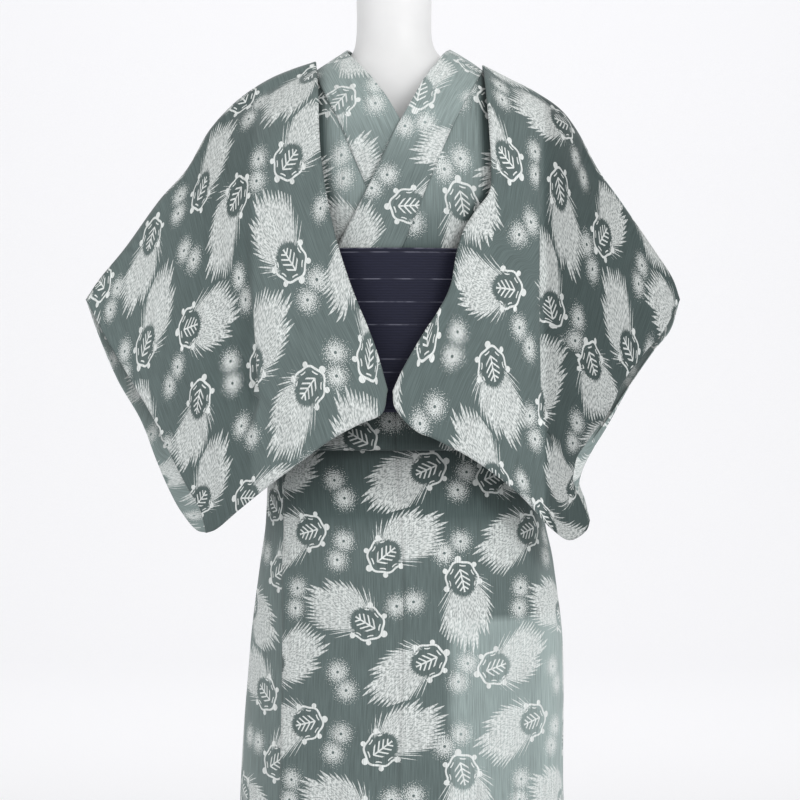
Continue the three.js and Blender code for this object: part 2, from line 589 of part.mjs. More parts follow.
// Sleeve: one cloth folded at the top. Its front hangs before the chest and belt and rounds
// back along its inner fold, and its back starts at the back of the armhole.
function sleeveCloth(side) {
  const shape = SLEEVES[side > 0 ? 'left' : 'right'];
  const top = tableCurve(shape.top);
  const front = {
    top, bottom: tableCurve(shape.bottom), inner: tableCurve(shape.inner), outer: tableCurve(shape.cuffFront),
  };
  const behind = ([x, y, z]) => [x, y + SLEEVE_SEAM, z + 0.5];
  const back = {
    top: { getPointAt: (share) => top.getPointAt(shape.shoulderShare + (1 - shape.shoulderShare) * share) },
    bottom: tableCurve(shape.bottom.map(behind)), inner: tableCurve(armholeEdge(side, shape)),
    outer: tableCurve(shape.cuffBack),
  };
  const frontPoint = (across, down) => {
    const point = patchPoint(front, across, down);
    const belly = SLEEVE_BELLY * Math.sqrt(Math.max(0, Math.sin(Math.PI * down))) * Math.sin(Math.PI * across);
    if (down > 0) {
      const room = SLEEVE_ROOM * shoulderSlant(point) + SLEEVE_CHEST_ROOM * smoothStep(down, 0.05, 0.25);
      point.y = -roundedMax(-point.y + belly, dressedDepth(point.x, point.z) + room);
      point.y += foldStep(shape, point) * smoothStep(1 - down, 0, 0.3);
    }
    return point;
  };
  const frontRows = SLEEVE_ROWS.map((down) => {
    const edge = frontPoint(0, down);
    const along = frontPoint(0.06, down).sub(edge).normalize();
    const lower = frontPoint(0.03, Math.min(down + 0.03, 1)).sub(frontPoint(0.03, Math.max(down - 0.03, 0.001)));
    const inward = along.clone().cross(lower.normalize()).normalize();
    if (inward.y < 0) inward.negate();
    const width = lookUp(TURN_BACK, 'down', down, 'width');
    const room = lookUp(TURN_BACK, 'down', down, 'room');
    const turned = TURN_BACK_COLUMNS.map(({ reach, depth }) => {
      const point = edge.clone().addScaledVector(along, reach * width).addScaledVector(inward, depth * room);
      const clear = dressedDepth(point.x, point.z) + TURN_BACK_ROOM * shoulderSlant(point);
      if (down > 0) point.y = Math.min(point.y, -clear);
      return point;
    });
    return [...turned, ...frontShares(front, shape, down).map((across) => frontPoint(across, down))];
  });
  const topShares = frontShares(front, shape, 0).slice(SHOULDER_COLUMNS);
  const backRows = SLEEVE_ROWS.map((down) => topShares.map((share) => {
    const across = (share - shape.shoulderShare) / (1 - shape.shoulderShare);
    const point = patchPoint(back, across, down);
    point.y += SLEEVE_BELLY * Math.sin(Math.PI * across) * Math.sqrt(Math.max(0, Math.sin(Math.PI * down)));
    return point;
  }));
  const shoulder = frontShares(front, shape, 0).slice(0, SHOULDER_COLUMNS + 1);
  const lapRows = SHOULDER_LAP.map((reach) => shoulder.map((share) => {
    const point = top.getPointAt(share);
    const half = Math.max(bodiceDepth(point.x, shoulderHeight(point.x) - SHOULDER_CAP, 0), 60);
    point.y += reach;
    point.z -= SHOULDER_CAP * (1 - Math.sqrt(1 - (reach / half) ** 2));
    return point;
  }));
  const grids = [frontRows.slice().reverse(), backRows, lapRows];
  return clothWall(side > 0 ? grids : grids.map((grid) => grid.map(flip)), WALL);
}

// Inner edge of a sleeve's back: along the back of the armhole, then free round the belt
function armholeEdge(side, shape) {
  const start = tableCurve(shape.top).getPointAt(shape.shoulderShare).toArray();
  const sewn = [0.95, 0.8, 0.65, 0.5, 0.35, 0.2, 0.08].map((way) => {
    const point = bodicePoint(armholeX(way), way, 1, side, layerOut(2, 'alone', 0));
    return [point.x + side * (WALL + ARMHOLE_GAP), point.y, point.z];
  });
  return [start, ...sewn, ...shape.freeEdge];
}

// Belt: one band that winds round outwards and slightly down, from the middle of the back
function beltCloth() {
  const steps = Math.round(BELT_TURNS * 36);
  const rows = [];
  for (let k = 0; k <= 3; k += 1) {
    const row = [];
    for (let i = 0; i <= steps; i += 1) {
      const turn = BELT_TURNS * (i / steps);
      const angle = -180 + 360 * turn;
      const front = THREE.MathUtils.euclideanModulo(angle + 180, 360) - 180;
      const out = BELT_REST + (BELT_REST_FRONT - BELT_REST) * overlapWeight(front) + BELT_TURN_STEP * turn;
      const z = BELT_TOP - BELT_TURN_DROP * turn - BELT_WIDTH * (1 - k / 3);
      const point = figurePoint(Math.min(z, BELT_FLARE_TOP), angle, 1, out);
      row.push(point.setZ(z));
    }
    rows.push(row);
  }
  return clothWall([rows], WALL);
}

// Solid through rings of points, closed by a flat face at each end
function ringSolid(rings) {
  const count = rings[0].length;
  const points = [...rings.flat()];
  const triangles = [];
  for (let k = 0; k + 1 < rings.length; k += 1) {
    for (let i = 0; i < count; i += 1) {
      const a = k * count + i;
      const b = k * count + ((i + 1) % count);
      triangles.push(a, b, b + count, a, b + count, a + count);
    }
  }
  for (const [k, turned] of [[0, true], [rings.length - 1, false]]) {
    const centre = rings[k].reduce((sum, p) => sum.add(p), new THREE.Vector3()).divideScalar(count);
    points.push(centre);
    for (let i = 0; i < count; i += 1) {
      const pair = [k * count + i, k * count + ((i + 1) % count)];
      if (turned) pair.reverse();
      triangles.push(...pair, points.length - 1);
    }
  }
  const geometry = new THREE.BufferGeometry().setFromPoints(points);
  geometry.setIndex(triangles);
  geometry.computeVertexNormals();
  return geometry;
}

// Torso of the dress form: ellipses up to the shoulders, then the shoulder line, then the neck
function formTorso() {
  const sides = 32;
  const rings = FORM.map(({ z, halfWidth, halfDepth, x, y }) => {
    const ring = [];
    for (let i = 0; i < sides; i += 1) {
      const angle = 2 * Math.PI * (i / sides);
      ring.push(new THREE.Vector3(x + halfWidth * Math.cos(angle), y + halfDepth * Math.sin(angle), z));
    }
    return ring;
  });
  return ringSolid(rings);
}

function standPole() {
  const length = FORM_BOTTOM - BASE_THICKNESS - 2 * SEAM_GAP;
  const pole = new THREE.CylinderGeometry(POLE_RADIUS, POLE_RADIUS, length, 24);
  return pole.rotateX(Math.PI / 2).translate(0, 0, BASE_THICKNESS + SEAM_GAP + length / 2);
}

function standBase() {
  const chamfer = 3;
  const profile = [
    new THREE.Vector2(0, 0), new THREE.Vector2(BASE_RADIUS, 0),
    new THREE.Vector2(BASE_RADIUS, BASE_THICKNESS - chamfer),
    new THREE.Vector2(BASE_RADIUS - chamfer, BASE_THICKNESS), new THREE.Vector2(0, BASE_THICKNESS),
  ];
  return new THREE.LatheGeometry(profile, 48).rotateX(Math.PI / 2);
}

const group = new THREE.Group();
const clothLook = new THREE.MeshStandardMaterial({ color: 0x65787a, roughness: 0.85, metalness: 0 });
const beltLook = new THREE.MeshStandardMaterial({ color: 0x26273f, roughness: 0.8, metalness: 0 });
const formLook = new THREE.MeshStandardMaterial({ color: 0xf2f2f2, roughness: 0.5, metalness: 0 });

function addPiece(name, geometry, material) {
  const mesh = new THREE.Mesh(geometry, material.clone());
  mesh.name = name;
  group.add(mesh);
}

addPiece('body_right', bodyCloth(-1, 'under'), clothLook);
addPiece('body_left', bodyCloth(1, 'over'), clothLook);
addPiece('overlap_right', overlapCloth(-1, 'under'), clothLook);
addPiece('overlap_left', overlapCloth(1, 'over'), clothLook);
addPiece('collar', collarCloth(), clothLook);
addPiece('sleeve_right', sleeveCloth(-1), clothLook);
addPiece('sleeve_left', sleeveCloth(1), clothLook);
addPiece('belt', beltCloth(), beltLook);
addPiece('form_torso', formTorso(), formLook);
addPiece('stand_pole', standPole(), formLook);
addPiece('stand_base', standBase(), formLook);

export default group;
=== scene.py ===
"""Looks of a summer kimono with its half-width belt, worn by a limbless dress form.

Sizes in the tables are millimetres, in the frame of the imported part: +Z up, -Y the front and +X the
viewer's right. Left and right in the names are the wearer's. Meshes are made in metres.
"""

import bpy
import numpy as np
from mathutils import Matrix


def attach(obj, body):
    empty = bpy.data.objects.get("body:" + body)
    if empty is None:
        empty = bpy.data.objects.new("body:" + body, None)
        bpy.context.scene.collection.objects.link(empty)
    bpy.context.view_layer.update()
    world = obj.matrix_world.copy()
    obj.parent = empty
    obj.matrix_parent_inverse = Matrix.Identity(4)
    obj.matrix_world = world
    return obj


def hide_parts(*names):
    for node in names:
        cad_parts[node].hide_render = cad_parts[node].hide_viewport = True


bl_info = {
    "name": "Summer kimono on a dress form",
    "version": (1, 0, 0),
    "blender": (4, 5, 0),
    "location": "3D View > Sidebar > Kimono",
    "description": "Builds the cloth, the belt, the dress form and the studio around the packed part",
    "category": "Object",
}

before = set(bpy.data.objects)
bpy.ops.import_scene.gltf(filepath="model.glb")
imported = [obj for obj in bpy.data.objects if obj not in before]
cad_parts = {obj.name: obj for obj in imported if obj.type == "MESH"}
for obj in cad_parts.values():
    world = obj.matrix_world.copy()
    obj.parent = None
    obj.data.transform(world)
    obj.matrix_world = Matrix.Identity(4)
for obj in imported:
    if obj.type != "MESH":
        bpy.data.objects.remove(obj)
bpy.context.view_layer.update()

MM = 0.001

# Heights and steps of the wrapped cloth
HEM_HEIGHT = 45
CHEST_HEIGHT = 1110
ARMHOLE_BOTTOM = 1055
ARMHOLE_ANGLE = 6
SHOULDER_CAP = 100
LAYER_STEP = 3
FOLD_CLEARANCE = 4.5
OVERLAP_TOP = 1040
HEM_TURN = 17
HEM_STEP = 0.7
SKIRT_INNER_ANGLE = 1.5

# Outline of the wrapped cloth at each height, and the middle's x
FIGURE = {
    "z": [45, 300, 500, 663, 757, 800, 890, 940, 1030, 1110, 1160, 1200, 1250, 1380],
    "half_width": [188, 192, 189, 183.5, 172, 164, 154, 148, 145, 150, 178, 205, 214, 214],
    "half_depth": [150, 149, 144, 138, 130, 126, 118, 111, 106, 106, 107, 107, 104, 100],
    "middle": [4, 3, 3, 8, 8, 6, 0, 0, 0, 0, 0, 0, 0, 0],
}

# Shoulder line: its height at each distance from the middle
SHOULDER = {"x": [0, 60, 105, 150, 190, 214], "z": [1376, 1355, 1329, 1307, 1278, 1250]}

# How far each layer lies out, in layer steps, where a front lies alone, under or over the other
LAYERS = {"alone": [0, 1, 2], "under": [0, 3, 4], "over": [1, 2, 5.6]}

# The way up a body length: skirt, fold at the cord, down inside the tuck, its lower fold, bodice
BODY_WAY = {
    "z": [45, 945, 995, 997, 995, 940, 891, 889, 891, 935, 1110],
    "layer": [0, 0, 0, 0.5, 1, 1, 1, 1.5, 2, 2, 2],
    "fold": [0, 0, 1, 1, 1, 0, 1, 1, 1, 0, 0],
}

SIDE_SEAM = {"z": [45, 890, 1055, 1400], "angle": [80, 86, 90, 90]}
OVERLAP_EDGE = {"z": [45, 500, 663, 757, 890, 1000], "angle": [47, 47, 50, 55, 60, 57]}

# Collar: the share of its width that lies past its seam, and its seam and width on each front at each
# fraction of the way up the bodice
COLLAR_START = -0.03
COLLAR_WAY = [-0.18, 0, 0.17, 0.34, 0.5, 0.64, 0.74, 0.82, 0.89, 0.95, 1]
COLLAR = {
    "over": {
        "way": COLLAR_WAY,
        "x": [-27, -4, 15, 32, 48, 62, 72, 80.5, 87, 92.5, 97],
        "width": [66, 65, 61, 58, 56, 53, 52, 51, 49, 48, 46],
    },
    "under": {
        "way": COLLAR_WAY,
        "x": [-17, 2, 20, 39, 55, 68, 78, 86, 92, 97, 101],
        "width": [68, 67, 67, 66, 64, 60, 56, 53, 50, 47, 45],
    },
}
BACK_NECK = {
    "x": [0, 42, 66, 84],
    "way": [0.74, 0.82, 0.89, 0.95],
    "edge_x": [0, 34, 50, 57],
    "edge_y": [82, 71, 50, 26],
    "edge_z": [1351, 1354, 1357, 1359],
}

# Belt: one band wound outwards and slightly down
BELT_WIDTH = 182
BELT_TOP = 1121
BELT_TURNS = 2.12
BELT_TURN_DROP = 4.5
BELT_TURN_STEP = 2.4
BELT_FLARE_TOP = 1118
BELT_REST = 9.9
BELT_REST_FRONT = 20.4
# Silver lines on it: how far each lies below the top edge
BELT_LINES = (0.6, 31, 57, 83, 122, 137)

# Sleeves: edges as places in space. The back has its own wrist edge, further out than the front's.
SLEEVE_CUT = (350, 420)
SLEEVE_BELLY = 12
SLEEVE_ROUNDING = 12
SLEEVE_ROOM = 7
SLEEVE_CHEST_ROOM = 11
ARMHOLE_GAP = 3
ARMHOLE_STOPS = (0.95, 0.8, 0.65, 0.5, 0.35, 0.2, 0.08)
BOTTOM_SEAM = 1.1
SHOULDER_SHARE = 0.3
SHOULDER_LAP = 27
FOLD_LAP_SPENT = 70
FOLD_DEPTH_SPENT = (30, 130)
TURN_BACK_ROOM = 3.4
TURN_BACK = {"down": [0, 0.12, 0.4, 0.8, 1], "width": [12, 38, 60, 30, 12], "room": [3.6, 7, 10, 8, 5]}
TURN_BACK_ROUND = {
    "q": [0, 0.12, 0.25, 0.6, 1],
    "reach": [0, -0.04, 0.1, 0.5, 1],
    "depth": [0, 0.4, 0.8, 1, 1],
}
SLEEVES = {
    "right": {
        "top": [
            (-100, -1, 1345), (-130, 0, 1335), (-156, 0, 1323.5), (-191, 0, 1300), (-224, -3, 1264.5),
            (-251, -8, 1217), (-281, -16, 1182), (-322, -27, 1123), (-350, -35, 1087.5), (-366, -40, 1063),
        ],
        "inner": [
            (-100, -1, 1345), (-97, -60, 1305), (-93, -112, 1225), (-84, -132, 1167), (-71, -145, 1116),
            (-51, -152, 1059.5), (-36, -157, 1024.5), (-25, -160, 995), (-14, -161, 957),
        ],
        "bottom": [
            (-14, -161, 957), (-20, -161, 931), (-45, -160, 919), (-78, -157, 901), (-112, -150, 876),
            (-147, -138, 850), (-183, -114, 821), (-212, -89, 797), (-223, -80, 793),
        ],
        "cuff_front": [
            (-366, -40, 1063), (-338, -50, 1012), (-310, -57, 966), (-286, -63, 926), (-268, -69, 889),
            (-247, -75, 849), (-230, -79, 820), (-223, -80, 793),
        ],
        "cuff_back": [
            (-366, -40, 1063), (-354, -36, 1027.5), (-329, -38, 969), (-302, -43, 923), (-283, -49, 876),
            (-268, -51, 842), (-255, -57, 819), (-235, -69, 796), (-223, -78.9, 793.2),
        ],
        "free_edge": [
            (-166, 8, 1055), (-170, -25, 1020), (-154, -92, 995), (-100, -136, 975), (-14, -159.9, 957.2),
        ],
        "fold_width": 12,
        "fold_lap": 0.8,
        "fold": {
            "z": [840, 885, 945, 1010, 1100, 1180], "x": [176, 172, 166, 166, 170, 174],
            "depth": [0, 4, 11, 10, 3, 0],
        },
    },
    "left": {
        "top": [
            (98, -1, 1341), (129, 0, 1325), (155, 0, 1312), (189, 0, 1289), (208, -2, 1264.5),
            (233, -8, 1217), (257, -16, 1182), (296, -27, 1123), (318, -35, 1087.5), (326, -40, 1063),
        ],
        "inner": [
            (98, -1, 1341), (101, -58, 1305), (104, -98, 1255), (106, -115, 1205), (104, -121, 1180),
            (87, -133, 1157), (73, -142, 1134), (66, -146, 1112), (58, -152, 1073), (44, -156, 1045),
            (29, -160, 1023), (2, -166, 977), (-8, -167, 955),
        ],
        "bottom": [
            (-8, -167, 955), (-6, -167, 938), (18, -163, 911), (37, -160, 903), (83, -150, 878.5),
            (134, -135, 840), (174, -118, 798), (194, -106, 786), (214, -92, 797), (218, -88, 808),
        ],
        "cuff_front": [
            (326, -40, 1063), (306, -50, 1026), (283, -57, 1000), (259, -62, 968), (243, -66, 935),
            (222, -71, 905), (206, -76, 877), (200, -82, 854), (208, -86, 831), (218, -88, 808),
        ],
        "cuff_back": [
            (326, -40, 1063), (315, -38, 1027.5), (296, -41, 1004), (271, -46, 969), (240, -54, 923),
            (223, -60, 900), (211, -66, 877), (206, -72, 854), (213, -80, 831), (218, -86.9, 808.2),
        ],
        "free_edge": [
            (166, 8, 1055), (170, -25, 1020), (154, -92, 995), (100, -138, 975), (-8, -165.9, 955.2),
        ],
        "fold_width": 7,
        "fold_lap": 0.6,
        "fold": {
            "z": [830, 870, 910, 1000, 1120, 1180, 1270], "x": [206, 190, 168, 162, 162, 163, 164],
            "depth": [1, 5, 13, 19, 16, 8, 0],
        },
    },
}

# Where each piece was cut from the bolt, so that its figures fall differently
BOLT_PLACES = {
    "right": (120, 40), "left": (40, 95), "collar": (60, 20),
    "sleeve_right": (15, 130), "sleeve_left": (165, 60),
}

# Top of the pole, just under the torso's foot
POLE_TOP = 699.3

# Dress form: half widths and half depths of its ellipses, with their centres
FORM = {
    "z": [700, 708, 740, 800, 890, 940, 1030, 1110, 1160, 1200, 1235, 1262, 1283, 1300, 1316, 1330, 1343,
          1356, 1372, 1395, 1425, 1442, 1450],
    "half_width": [140, 152, 158, 154, 144, 139, 136, 141, 160, 178, 184, 180, 168, 150, 125, 95, 64,
                   50, 45, 44, 44, 40, 28],
    "half_depth": [100, 112, 118, 116, 108, 102, 97, 98, 98, 95, 88, 78, 70, 64, 57, 52, 48,
                   46, 45, 44, 44, 40, 28],
    "x": [3, 3, 3, 2, 0, 0, 0, 0, 0, 0, 0, 0, 0, 0, 0, -1, -4, -6, -7, -7, -7, -7, -7],
    "y": [0, 0, 0, 0, 0, 0, 0, 0, 0, 0, 0, 0, 0, 0, 0, 2, 4, 6, 8, 8, 8, 8, 8],
}

# How many rows, columns and sides the grids have, their row step, and how near two points are made one
ROW_STEP = 9
FRONT_COLUMNS = 60
BACK_COLUMNS = 66
BODICE_ROWS = 40
OVERLAP_COLUMNS = 32
COLLAR_ROWS = 90
COLLAR_COLUMNS = 22
NECK_ROWS = 30
SHOULDER_COLUMNS = 26
WING_COLUMNS = 120
SLEEVE_ROWS = 100
STRAIGHT_COLUMN = 40
BELT_COLUMNS = 420
BELT_ROWS = 46
RING_SIDES = 96
FORM_ROWS = 200
STRIP_COLUMNS = 12
LAP_ROWS = 8
JOIN_ROWS = 6
CURVE_STEPS = 30
PAPER_ROWS = 24
JOIN_DISTANCE = 0.02

# Painted light shares: 0 where cloth lies in layers, 1 for the light through one lone layer, below 0
# painted shade
BACK_PAINTED_LIGHT = 0.25
COLLAR_PAINTED_LIGHT = 0.27
COLLAR_PAINTED_LIGHT_RISE = 0.4
COLLAR_SHADE = 0.6
# Each sleeve's own painted light, the left one less, and painted shade past its long fold
SLEEVE_PAINTED_LIGHT = {"right": 0.19, "left": 0.14}
WING_SHADE = {"right": 0.12, "left": 0.5}
SLEEVE_BACK_PAINTED_LIGHT = 0.55
TURN_BACK_PAINTED_LIGHT = 0.1

# Soft creases in a piece's flat cloth: both ends, half width and height of each
SLEEVE_CREASES = {
    "right": {
        "u0": [60, 205, 120, 300, 30, 90, 250], "v0": [60, 190, 250, 120, 330, 40, 230],
        "u1": [150, 180, 90, 235, 120, 60, 290], "v1": [330, 410, 400, 360, 400, 200, 390],
        "width": [24, 12, 18, 22, 20, 16, 14], "height": [4, -4, 3.5, 4.5, 3, -3, 3],
    },
    "left": {
        "u0": [50, 250, 110, 310, 40, 95, 270], "v0": [90, 120, 230, 200, 300, 30, 60],
        "u1": [80, 235, 135, 250, 130, 70, 300], "v1": [340, 380, 400, 370, 400, 220, 240],
        "width": [20, 20, 16, 22, 22, 14, 18], "height": [4, 4, -3.5, 4, 3, -3.5, 3.5],
    },
}
SKIRT_CREASES = {
    "right": {
        "u0": [262, 300, 345, 430, 505, 560], "v0": [80, 250, 60, 120, 60, 90],
        "u1": [268, 296, 352, 436, 512, 548], "v1": [820, 700, 640, 860, 760, 700],
        "width": [9, 8, 14, 20, 24, 16], "height": [1.6, -1.4, 2.4, 3, -2.8, 2],
    },
    "left": {
        "u0": [214, 232, 250, 286, 350, 420, 500], "v0": [100, 60, 160, 120, 80, 60, 120],
        "u1": [208, 229, 254, 290, 344, 428, 508], "v1": [780, 840, 860, 700, 720, 860, 640],
        "width": [7, 6, 7, 12, 18, 24, 20], "height": [1.3, 1.6, -1.4, 2.2, 3, -2.8, 2.6],
    },
}

# One repeat of the cloth's figures: each one's middle, turn in degrees and mirroring, then the size of
# all of them, and half the length and width that the nearest is judged by
REPEAT = (276, 218)
TORTOISES = {
    "x": [46, 178, 117, 250, 42, 178], "y": [36, 46, 112, 104, 184, 186],
    "turn": [24, 196, 102, 330, 218, 14], "flip": [1, 1, -1, 1, -1, 1],
    "size": 1.06, "half": (50, 31),
}
ROUNDS = {
    "x": [112, 247, 186, 44, 100, 244], "y": [34, 24, 116, 112, 176, 172],
    "turn": [62, 118, 84, 12, 35, 68], "flip": [1, 1, 1, 1, 1, 1],
    "size": 1.05, "half": (22, 12),
}

# One tortoise: its shell's middle ahead of its own, half length and half width of shell, leaf and tail,
# the leaf's veins, the ring and the knobs round the shell, and the tail with its hairs and strokes
SHELL_AHEAD = 25
SHELL = (14, 12)
SHELL_EDGE = 1.2  # in half lengths of the shell, as the ring's radius is
SHELL_DARK = 0.14
LEAF = (12.5, 8.5)
VEIN_STEP = 3
VEIN_WIDTH = 1.05
SPINE_WIDTH = 0.8
RING_RADIUS = 1.48
RING_WAVES = 7
RING_END = -8
KNOBS = (((23.5, 0), 3.6), ((14, 16.5), 2.8), ((-5, 19), 3))
TAIL = (38, 27)
TAIL_MIDDLE = (46, 3)
TAIL_ROOT = 12
TAIL_BEND = 0.0022
HAIRS = 17
STROKES = (42, 0.28)

# A pair of rounds: from the pair's middle to each round's, and the radius of the dark eye
ROUND_APART = 11
ROUND_EYE = 1.6

# Weaves: noise of the threads, streaks in a millimetre across and along, darkest and lightest tone
THREADS = {"Scale": 1, "Detail": 2}
CLOTH_STREAKS = (0.9, 0.03, 0)
CLOTH_CONTRAST = (0.83, 1.17)
RIB_STEP = 3
BELT_LINE_STRENGTH = (0.06, 0.42)


def linear(hex_colour):
    """sRGB hex to linear: c / 12.92 up to 0.04045, and ((c + 0.055) / 1.055) ** 2.4 above it."""
    channels = np.array([int(hex_colour[i:i + 2], 16) / 255 for i in (1, 3, 5)])
    curved = ((channels + 0.055) / 1.055) ** 2.4
    return tuple(float(c) for c in np.where(channels <= 0.04045, channels / 12.92, curved))


class ClothSettings(bpy.types.PropertyGroup):
    """The kimono's cloth."""

    wall: bpy.props.FloatProperty(
        name="Wall", description="Thickness of the cloth", default=0.9 * MM, unit="LENGTH")
    collar_wall: bpy.props.FloatProperty(
        name="Collar wall", description="Thickness of the folded collar", default=2.2 * MM, unit="LENGTH")
    ground: bpy.props.FloatVectorProperty(
        name="Ground", description="Colour where cloth lies in layers", subtype="COLOR", size=3,
        default=linear("#4a5756"))
    # Painted light: the lighter colour that stands in for the room's light through one lone layer
    painted_light: bpy.props.FloatVectorProperty(
        name="Sheer", description="Colour where one layer lets light through", subtype="COLOR", size=3,
        default=linear("#9fadab"))
    shell: bpy.props.FloatVectorProperty(
        name="Shell", description="Darkest tone, in the figures' shells", subtype="COLOR", size=3,
        default=linear("#3f4847"))
    white: bpy.props.FloatVectorProperty(
        name="White", description="Colour of the undyed figures", subtype="COLOR", size=3,
        default=linear("#d6dad8"))


class BeltSettings(bpy.types.PropertyGroup):
    """The half-width belt."""

    wall: bpy.props.FloatProperty(
        name="Wall", description="Thickness of the band", default=1.1 * MM, unit="LENGTH")
    ground: bpy.props.FloatVectorProperty(
        name="Ground", description="Navy of the band", subtype="COLOR", size=3, default=linear("#15172b"))
    silver: bpy.props.FloatVectorProperty(
        name="Silver", description="Colour of the thin lines", subtype="COLOR", size=3,
        default=linear("#8f90a0"))


class FormSettings(bpy.types.PropertyGroup):
    """The dress form and its stand."""

    shell: bpy.props.FloatVectorProperty(
        name="Shell", description="White of the torso", subtype="COLOR", size=3, default=linear("#e8e8e8"))
    pole_radius: bpy.props.FloatProperty(
        name="Pole radius", description="Radius of the pole", default=16 * MM, unit="LENGTH")
    base_radius: bpy.props.FloatProperty(
        name="Base radius", description="Radius of the base", default=165 * MM, unit="LENGTH")
    base_thickness: bpy.props.FloatProperty(
        name="Base thickness", description="Thickness of the base", default=12 * MM, unit="LENGTH")


class StageSettings(bpy.types.PropertyGroup):
    """The studio and the camera."""

    distance: bpy.props.FloatProperty(
        name="Distance", description="Camera to the form's middle plane", default=3.2, unit="LENGTH")
    height: bpy.props.FloatProperty(
        name="Height", description="Camera above the floor", default=0.946, unit="LENGTH")
    lens: bpy.props.FloatProperty(name="Lens", description="Focal length in millimetres", default=122)
    floor: bpy.props.FloatVectorProperty(
        name="Floor", description="Pale paper of floor and backdrop", subtype="COLOR", size=3,
        default=linear("#fbfbfd"))


def smooth_step(value, low, high):
    """3 t^2 - 2 t^3 of t, the value's share of the way from low to high, kept within 0 and 1."""
    t = np.clip((value - low) / (high - low), 0, 1)
    return t * t * (3 - 2 * t)


def unit(vectors):
    """Each vector over its own length."""
    return vectors / np.maximum(np.linalg.norm(vectors, axis=-1, keepdims=True), 1e-9)


def cubic(t, start, leave, finish, arrive):
    """Cubic from start to finish as t goes from 0 to 1, with its slope at each end."""
    return ((2 * t ** 3 - 3 * t ** 2 + 1) * start + (t ** 3 - 2 * t ** 2 + t) * leave
            + (3 * t ** 2 - 2 * t ** 3) * finish + (t ** 3 - t ** 2) * arrive)


def read(table, key, place, column):
    """Smooth cubic curve through a table's rows, its slopes taken across the neighbouring rows."""
    keys = np.array(table[key], float)
    values = np.array(table[column], float)
    last = len(keys) - 1
    place = np.clip(place, keys[0], keys[last])
    row = np.clip(np.searchsorted(keys, place, side="left") - 1, 0, last - 1)
    before = np.maximum(row - 1, 0)
    after = np.minimum(row + 2, last)
    span = keys[row + 1] - keys[row]
    t = (place - keys[row]) / span
    low_slope = (values[row + 1] - values[before]) / (keys[row + 1] - keys[before]) * span
    high_slope = (values[after] - values[row]) / (keys[after] - keys[row]) * span
    return cubic(t, values[row], low_slope, values[row + 1], high_slope)


def shoulder_height(x):
    """Height of the shoulder line at a distance from the middle."""
    return read(SHOULDER, "x", np.abs(x), "z")


def overlap_weight(angle):
    """1 across the front, where both fronts lie on each other, fading to 0 at the sides."""
    return 1 - smooth_step(np.abs(angle), 62, 84)


def layer_out(layer, place, overlap):
    """How far a layer lies out: its step alone, moved by overlap towards its step in place."""
    alone = np.interp(layer, [0, 1, 2], LAYERS["alone"])
    shared = np.interp(layer, [0, 1, 2], LAYERS[place])
    return LAYER_STEP * (alone + (shared - alone) * overlap)


def figure_point(z, angle, side, out):
    """Ellipse round the figure: x = middle + side (a + out) sin angle, y = -(b + out) cos angle."""
    turn = np.radians(angle)
    a = read(FIGURE, "z", z, "half_width") + out
    b = read(FIGURE, "z", z, "half_depth") + out
    middle = read(FIGURE, "z", z, "middle")
    return np.stack([middle + side * a * np.sin(turn), -b * np.cos(turn), z + 0 * turn], axis=-1)


def wrapped(z, layer, fold, angle, side, place):
    """Point of a wrapped panel, thicker over the turned-up hem.

    The under front's folds lie higher by the fold's clearance.
    """
    overlap = overlap_weight(angle)
    hem = HEM_STEP * (1 - smooth_step(z, HEM_HEIGHT + HEM_TURN - 1, HEM_HEIGHT + HEM_TURN + 1))
    point = figure_point(z, angle, side, layer_out(layer, place, overlap) + hem)
    if place == "under":
        point[..., 2] += fold * FOLD_CLEARANCE * overlap
    return point


def bodice_depth(x, z, out):
    """Ellipse depth b sqrt(1 - (x/a)^2), rounded to nothing at the shoulder line by sqrt(1 - rise^2)."""
    cap_start = shoulder_height(x) - SHOULDER_CAP
    a = read(FIGURE, "z", z, "half_width") + out
    b = read(FIGURE, "z", np.minimum(z, cap_start), "half_depth") + out
    rise = np.clip((z - cap_start) / SHOULDER_CAP, 0, 1)
    return b * np.sqrt(np.maximum(0, 1 - (x / a) ** 2)) * np.sqrt(1 - rise ** 2)


def chest_lift(way, out):
    """More room between the fronts: 0.2 out, fading to 0 at the belt and at the shoulder."""
    return 0.2 * out * smooth_step(way, 0, 0.3) * (1 - smooth_step(way, 0.8, 1))


def bodice_point(x, way, face, side, layer_offset):
    """Point at a fraction of the way from the chest to the shoulder line, on the bodice's ellipse."""
    z = CHEST_HEIGHT + (shoulder_height(x) - CHEST_HEIGHT) * way
    depth = bodice_depth(x, z, layer_offset * (1 - way ** 2)) + chest_lift(way, layer_offset)
    return np.stack([side * x, face * depth, z], axis=-1)


def armhole_x(way):
    """Distance of the armhole's edge from the middle: (a + out) cos 6 degrees at its height."""
    z = CHEST_HEIGHT + (SHOULDER["z"][-1] - CHEST_HEIGHT) * way
    out = LAYER_STEP * LAYERS["alone"][2] * (1 - way ** 2)
    return (read(FIGURE, "z", z, "half_width") + out) * np.cos(np.radians(ARMHOLE_ANGLE))


def body_rows():
    """Columns of height, layer and fold share up a body length, a step apart and at each bend."""
    z, layer, fold = (np.array(BODY_WAY[key], float) for key in ("z", "layer", "fold"))
    length = np.concatenate([[0], np.cumsum(np.hypot(np.diff(z), LAYER_STEP * np.diff(layer)))])
    hem = [HEM_TURN - 1, HEM_TURN, HEM_TURN + 1]
    marks = np.unique(np.round(np.concatenate([length, hem, np.arange(0, length[-1], ROW_STEP)]), 3))
    return [np.interp(marks, length, values)[:, None] for values in (z, layer, fold)]


